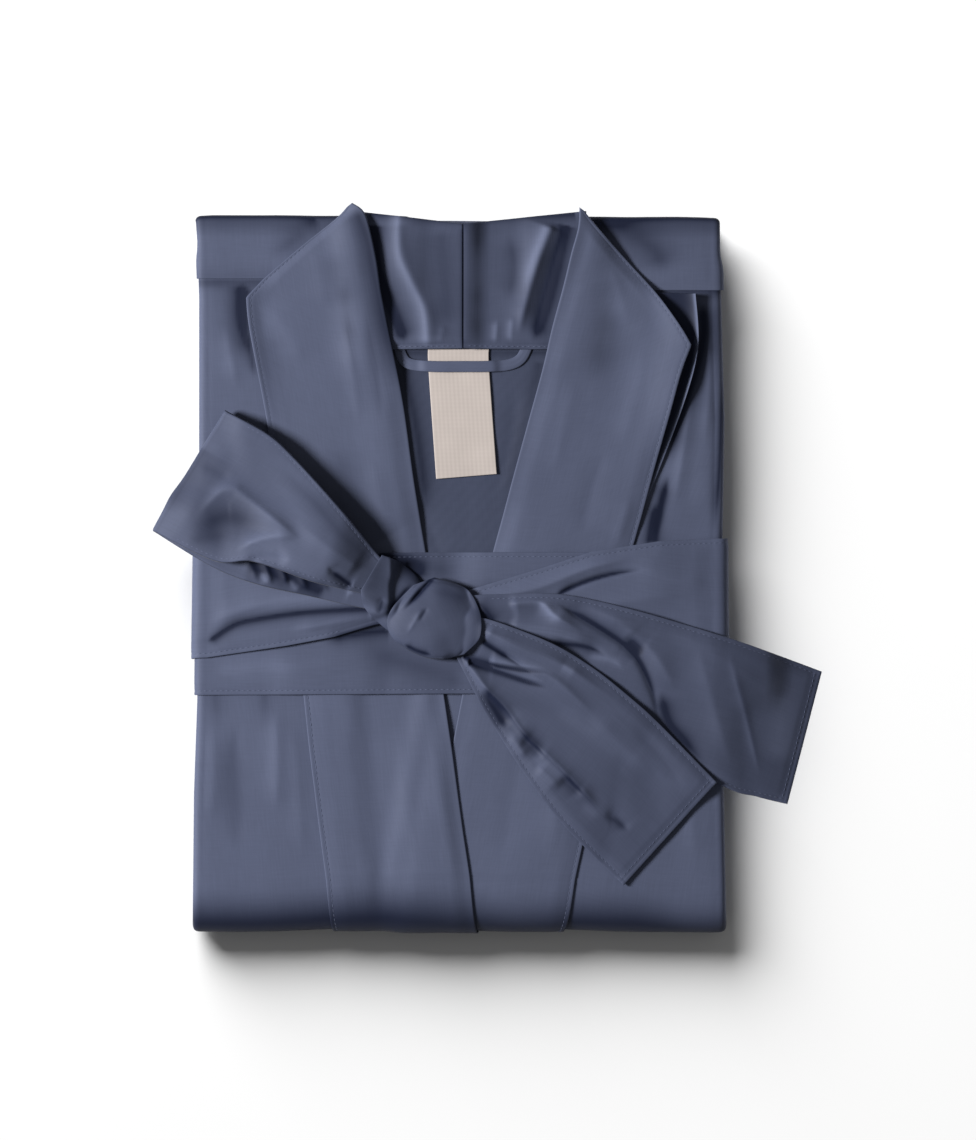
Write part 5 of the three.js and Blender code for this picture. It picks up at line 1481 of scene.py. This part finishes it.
def tails():
    for which, plan, folds, nap, seed, droop in (
            ("upper", TAIL_UPPER, TAIL_UPPER_FOLDS, TAIL_UPPER_PAINTED_SHADE, 67, 0.18),
            ("lower", TAIL_LOWER, TAIL_LOWER_FOLDS, TAIL_LOWER_PAINTED_SHADE, 71, 0.0)):
        sheet = ruled(plan, 0.92)
        relief = positive(0.7 + billow(sheet, seed, 26.0, 1.1)
                          + fold_relief(folds, sheet.x, sheet.y)) * settle(sheet, "abse", 7.0, 0.3)
        relief = relief + edge_relief(sheet, "abe", pucker=0.08)
        wall = SASH_WALL + 0.5 * np.exp(-(sheet.from_end / 3.6) ** 4)
        lay(sheet, wall, relief, place=hanging_out(droop))
        # Each tail is painted darker overall, as shade.
        paint_shade(sheet, -0.27, folds, nap)
        cloth_piece(f"tail_{which}", sheet, satin_finish())
        lines = [(seam_points(sheet, side, SEAM_INSET), 0.04, 1.0) for side in "ab"]
        lines.append((seam_points(sheet, "e", 3.4), 0.0, 1.0))
        stitching(f"tail_{which}", lines, satin_finish("thread"))


def bow_loop():
    place = hanging_out(0.1)
    under = ruled(LOOP_UNDER, 1.2)
    over = ruled(LOOP_OVER, 1.0)
    lifted = 3.0 * ease(0.1, 0.5, under.u) + positive(fold_relief(LOOP_UNDER_FOLDS, under.x, under.y))
    relief = lifted * ease(1.0, 0.85, under.u) + 2.5 * ease(0.6, 1, under.u)
    lay(under, SASH_WALL, relief, place=place)
    # The under layer is painted darker, as shade, and the upper one painted darker toward the knot.
    paint_shade(under, -0.2, (), LOOP_UNDER_PAINTED_SHADE)
    paint_shade(over, 0.02 - 0.27 * ease(0.45, 0.8, over.u), (), LOOP_PAINTED_SHADE)
    rise = LOOP_HIGH * ease(0, 0.3, over.u) * (0.75 + 0.25 * np.sin(math.pi * over.v))
    rise *= 1 - 0.93 * ease(0.25, 1.05, over.u)
    relief = positive(0.6 + billow(over, 79, 24.0, 1.2) + fold_relief(LOOP_FOLDS, over.x, over.y))
    relief = relief * ease(1.0, 0.9, over.u) + rise + edge_relief(over, "ab", pucker=0.09)
    lay(over, SASH_WALL, relief, place=place)

    outward = np.array([LOOP_OVER[-1].by - LOOP_OVER[-1].ay, LOOP_OVER[-1].ax - LOOP_OVER[-1].bx, 0.0])
    outward /= np.linalg.norm(outward)
    count = min(under.x.shape[1], over.x.shape[1])
    v = np.linspace(0, 1, count)

    def resampled(sheet, points):
        out = np.empty((len(points), count, 3))
        for i, row in enumerate(points):
            for k in range(3):
                out[i, :, k] = np.interp(v, sheet.v[i], row[:, k])
        return out

    keep_under, keep_over = (int((sheet.from_end.mean(axis=1) > LOOP_TURN).sum()) for sheet in (under, over))
    under_low, under_high = (resampled(under, p)[:keep_under] for p in (under.lower, under.upper))
    over_low, over_high = (resampled(over, p)[:keep_over] for p in (over.lower, over.upper))
    outer, inner = [*under_low], [*under_high]
    for turn in np.linspace(0, math.pi, TURN_COUNT)[1:-1]:
        for rows, low, high in ((outer, under_low[-1], over_high[-1]), (inner, under_high[-1], over_low[-1])):
            half = (high - low) / 2
            reach = np.linalg.norm(half, axis=1, keepdims=True) * math.sin(turn)
            rows.append(low + half - half * math.cos(turn) + outward * reach)
    outer += [*over_high[::-1]]
    inner += [*over_low[::-1]]
    outer, inner = np.array(outer), np.array(inner)
    along = np.concatenate([np.zeros((1, count)), np.cumsum(
        np.linalg.norm(np.diff(outer, axis=0), axis=2), axis=0)])
    across = np.repeat(v[None, :] * SASH_WIDTH, len(outer), axis=0)
    # The turned end keeps the painted shade of the upper layer's last row.
    under_painted_shade, over_painted_shade = (
        np.array([np.interp(v, sheet.v[i], sheet.nap[i]) for i in range(kept)])
        for sheet, kept in ((under, keep_under), (over, keep_over)))
    turned = np.repeat(over_painted_shade[-1:], TURN_COUNT - 2, axis=0)
    nap = np.concatenate([under_painted_shade, turned, over_painted_shade[::-1]])
    obj = shell_object("bow_loop_cloth", inner, outer, along, across, nap)
    finish_piece(obj, "bow_loop", satin_finish())
    length, width = along[-1].max() * MM, LOOP_CUT_WIDTH
    _, _, under_area = under.flat_size
    _, _, over_area = over.flat_size
    area = min(under_area + over_area, width * length)
    lines = [(seam_points(over, side, SEAM_INSET), 0.06, 0.92) for side in "ab"]
    stitching("bow_loop", lines, satin_finish("thread"))


KNOT_BAND = (
    Ruling(-53.0, 6.6, -63.4, -11.0), Ruling(-45.0, 3.5, -61.8, -19.5), Ruling(-37.0, -2.5, -55.5, -26.5),
    Ruling(-33.0, -7.5, -51.0, -30.5), Ruling(-28.0, -13.0, -45.0, -35.0),
)
KNOT = (
    Ruling(-27.0, -4.6, -37.3, -8.4), Ruling(-17.0, -7.2, -47.0, -18.6), Ruling(-10.0, -11.0, -50.4, -26.4),
    Ruling(-5.6, -18.0, -48.4, -34.0), Ruling(-3.4, -26.0, -41.0, -40.4), Ruling(-4.6, -35.5, -31.0, -44.8),
    Ruling(-12.0, -43.0, -22.0, -45.6),
)
KNOT_BAND_FOLDS = (
    Fold([(-54.6, -23), (-53.8, -19), (-52.6, -14)], 1.2, -0.9),
    Fold([(-36.6, -7), (-46.6, -18.2), (-51, -26)], 1.0, -1.2, 0.0, (0.3, 0.2)),
)
KNOT_FOLDS = (
    Fold([(-25, -2), (-28.6, -5.9), (-35.6, -13.9), (-42.4, -21.4)], 1.0, -1.7, 0.0, (0.05, 0.4)),
    Fold([(-33.6, -9), (-39.4, -15), (-45, -22)], 1.4, 0.7),
    Fold([(-33, -20), (-37, -27), (-40.6, -33)], 1.0, 0.5),
    Fold([(-30, -19), (-34.6, -27)], 1.0, -0.5),
    Fold([(-42, -38), (-35, -41.4), (-27, -43.6)], 1.0, -1.0, 0.0, (0.2, 0.3)),
)
# Painted shade in the knot's creases and over its right side, with a painted highlight on the band's lower
# left edge.
KNOT_BAND_PAINTED_SHADE = (
    ShadeStroke([(-62, -8), (-60, -17), (-54, -24)], 2.6, 0.4),
    ShadeStroke([(-48, 5), (-40, 0), (-31, -7)], 4.0, -0.5, 0.0, (0.3, 0.02)),
    ShadeStroke([(-36.6, -7), (-46.6, -18.2), (-51, -26)], 0.8, -0.9, 0.0, (0.3, 0.2)),
    ShadeStroke([(-54.6, -23), (-53.8, -19), (-52.6, -15)], 0.8, -0.5),
)
KNOT_PAINTED_SHADE = (
    ShadeStroke([(-25, -2), (-28.6, -5.9), (-35.6, -13.9), (-42, -21)], 0.9, -1.3, 0.0, (0.02, 0.4)),
    ShadeStroke([(-33, -20), (-37, -27), (-40.6, -33)], 0.7, 0.3),
    ShadeStroke([(-30.4, -19), (-35, -27)], 0.7, -0.45, 0.0, (0.4, 0.4)),
    ShadeStroke([(-31, -11), (-20, -13), (-8, -16)], 4.0, -0.3, 0.0, (0.4, 0.3)),
    ShadeStroke([(-42, -38), (-35, -41.4), (-27, -43.6)], 0.8, -0.9, 0.0, (0.2, 0.3)),
    ShadeStroke([(-9, -12), (-4, -25), (-6, -36), (-15, -43)], 2.4, -0.3, 0.0, (0.3, 0.3)),
)


def knot():
    rounded = {side: 3.6 for side in "abse"}
    floor = float(np.median(lifts.sample(lifts.height, *np.mgrid[-44:-8:2, -40:-12:2])))
    for name, plan, folds, nap, high, seed in (
            ("knot_band", KNOT_BAND, KNOT_BAND_FOLDS, KNOT_BAND_PAINTED_SHADE, 8.0, 89),
            ("knot", KNOT, KNOT_FOLDS, KNOT_PAINTED_SHADE, 13.0, 83)):
        sheet = ruled(plan, 0.7)
        across, along = np.abs(2 * sheet.v - 1), np.abs(2 * sheet.u - 1)
        if name == "knot_band":
            along = np.maximum(0, 1 - 2 * sheet.u)
        swell = 1 - 0.4 * np.minimum(1, (across ** 3 + along ** 3) ** 0.8)
        surface = (fold_relief(folds, sheet.x, sheet.y)
                   + 0.25 * soft_noise(sheet.x, sheet.y, 9.0, seed)) * ease(0, 2.5, sheet.nearest_edge)
        lay(sheet, SASH_WALL, None, surface, soften=1, place=hanging_out(0), edge=rounded,
            crown=floor + high * swell)
        # The knot and its band are painted darker overall, as shade.
        paint_shade(sheet, -0.3, (), nap)
        cloth_piece(name, sheet, satin_finish())


# ---- Operators ----------------------------------------------------------------------------------
class ROBE_OT_folded_layers(bpy.types.Operator):
    """Lay the sleeves, sides and skirt that are folded behind"""
    bl_idname = "robe.folded_layers"
    bl_label = "Folded layers"

    def execute(self, context):
        folded_layers()
        return {"FINISHED"}


class ROBE_OT_body_panels(bpy.types.Operator):
    """Lay the two fronts and the shoulder yokes"""
    bl_idname = "robe.body_panels"
    bl_label = "Fronts and yokes"

    def execute(self, context):
        fronts()
        yokes()
        return {"FINISHED"}


class ROBE_OT_neck(bpy.types.Operator):
    """Lay the inside of the back, the label, the hanger loop and the back collar"""
    bl_idname = "robe.neck"
    bl_label = "Neck"

    def execute(self, context):
        neck()
        collar_back()
        return {"FINISHED"}


class ROBE_OT_lapels(bpy.types.Operator):
    """Lay the lapels over the neck"""
    bl_idname = "robe.lapels"
    bl_label = "Lapels"

    def execute(self, context):
        lapels()
        return {"FINISHED"}


class ROBE_OT_bands(bpy.types.Operator):
    """Lay the front bands below the sash, left over right"""
    bl_idname = "robe.bands"
    bl_label = "Front bands"

    def execute(self, context):
        bands()
        return {"FINISHED"}


class ROBE_OT_sash(bpy.types.Operator):
    """Wind the sash round the folded robe"""
    bl_idname = "robe.sash"
    bl_label = "Sash"

    def execute(self, context):
        sash()
        return {"FINISHED"}


class ROBE_OT_bow(bpy.types.Operator):
    """Tie the half bow: two tails, one loop and the knot"""
    bl_idname = "robe.bow"
    bl_label = "Bow"

    def execute(self, context):
        tails()
        bow_loop()
        knot()
        return {"FINISHED"}


# ---- Stage, in metres ---------------------------------------------------------------------------
LIGHTS_AIM = (0, 0, 0.02)
KEY_AT, KEY_SIZE = (-1.9, 0.22, 1.35), 0.7
WASH_AT, WASH_SIZE = (-3.8, 6.4, 4.45), 7.0
SENSOR = 36.0
PICTURE_WIDTH, PICTURE_WIDTH_AT = 0.488, 0.03      # the picture is this wide at this height
CAMERA_X, CAMERA_Y = -0.0001, -0.0009


def add_soft_light(name, location, size, power):
    bpy.ops.object.light_add(type="AREA", location=location)
    light = bpy.context.active_object
    light.name = name
    light.data.shape = "DISK"
    light.data.size = size
    light.data.energy = power
    light.rotation_euler = (Vector(LIGHTS_AIM) - light.location).to_track_quat("-Z", "Y").to_euler()
    return light


class ROBE_OT_stage(bpy.types.Operator):
    """Set the pale floor, the soft lights and the camera straight above"""
    bl_idname = "robe.stage"
    bl_label = "Stage"

    def execute(self, context):
        settings = context.scene.robe_stage
        bpy.ops.object.select_all(action="DESELECT")
        bpy.ops.mesh.primitive_plane_add(size=8.0, location=(0, 0, 0))
        floor = context.active_object
        floor.name = "floor"
        finish = Finish("pale floor", 0.9, 0.0)
        finish.connect(finish.shader.inputs["Base Color"], (*settings.floor_color, 1.0))
        finish.shader.inputs["Specular IOR Level"].default_value = 0.0
        floor.data.materials.append(finish.material)

        key = add_soft_light("key_light", KEY_AT, KEY_SIZE, settings.key_power)
        wash = add_soft_light("floor_wash", WASH_AT, WASH_SIZE, settings.wash_power)
        # The key lights the cloth alone and the wash the floor alone.
        for light, name, state in ((key, "key_skips_floor", "EXCLUDE"), (wash, "wash_on_floor", "INCLUDE")):
            group = bpy.data.collections.new(name)
            group.objects.link(floor)
            group.collection_objects[0].light_linking.link_state = state
            light.light_linking.receiver_collection = group

        # The tail that hangs past the edge throws no shadow of the wash.
        hanging = bpy.data.collections.new("wash_passes_tail")
        for name in ("tail_upper_cloth", "tail_upper_stitches"):
            hanging.objects.link(bpy.data.objects[name])
        for member in hanging.collection_objects:
            member.light_linking.link_state = "EXCLUDE"
        wash.light_linking.blocker_collection = hanging

        context.scene.view_settings.view_transform = "Standard"
        world = context.scene.world or bpy.data.worlds.new("studio")
        context.scene.world = world
        world.use_nodes = True
        background = world.node_tree.nodes["Background"]
        background.inputs["Color"].default_value = (1, 1, 1, 1)
        background.inputs["Strength"].default_value = settings.ambient

        bpy.ops.object.camera_add(location=(CAMERA_X, CAMERA_Y, settings.camera_height), rotation=(0, 0, 0))
        camera = context.active_object
        camera.name = "camera"
        camera.data.sensor_fit = "HORIZONTAL"
        camera.data.sensor_width = SENSOR
        camera.data.lens = SENSOR * (settings.camera_height - PICTURE_WIDTH_AT) / PICTURE_WIDTH
        camera.data.clip_end = 20.0
        context.scene.camera = camera
        return {"FINISHED"}


STEPS = (
    ROBE_OT_folded_layers, ROBE_OT_body_panels, ROBE_OT_neck, ROBE_OT_lapels, ROBE_OT_bands,
    ROBE_OT_sash, ROBE_OT_bow, ROBE_OT_stage,
)


class ROBE_PT_panel(bpy.types.Panel):
    """The steps that build the robe, in order, with its sizes and colours"""
    bl_idname = "ROBE_PT_panel"
    bl_label = "Robe"
    bl_space_type = "VIEW_3D"
    bl_region_type = "UI"
    bl_category = "Robe"

    def draw(self, context):
        for group in (context.scene.robe_cloth, context.scene.robe_stage):
            for name in group.__annotations__:
                self.layout.prop(group, name)
        for step in STEPS:
            self.layout.operator(step.bl_idname)


CLASSES = (RobeClothSettings, RobeStageSettings, *STEPS, ROBE_PT_panel)


def register():
    for cls in CLASSES:
        bpy.utils.register_class(cls)
    bpy.types.Scene.robe_cloth = PointerProperty(type=RobeClothSettings)
    bpy.types.Scene.robe_stage = PointerProperty(type=RobeStageSettings)


def unregister():
    del bpy.types.Scene.robe_stage
    del bpy.types.Scene.robe_cloth
    for cls in reversed(CLASSES):
        bpy.utils.unregister_class(cls)


def main():
    register()
    bpy.ops.robe.folded_layers()
    bpy.ops.robe.body_panels()
    bpy.ops.robe.neck()
    bpy.ops.robe.lapels()
    bpy.ops.robe.bands()
    bpy.ops.robe.sash()
    bpy.ops.robe.bow()
    bpy.ops.robe.stage()


if __name__ == "__main__":
    main()
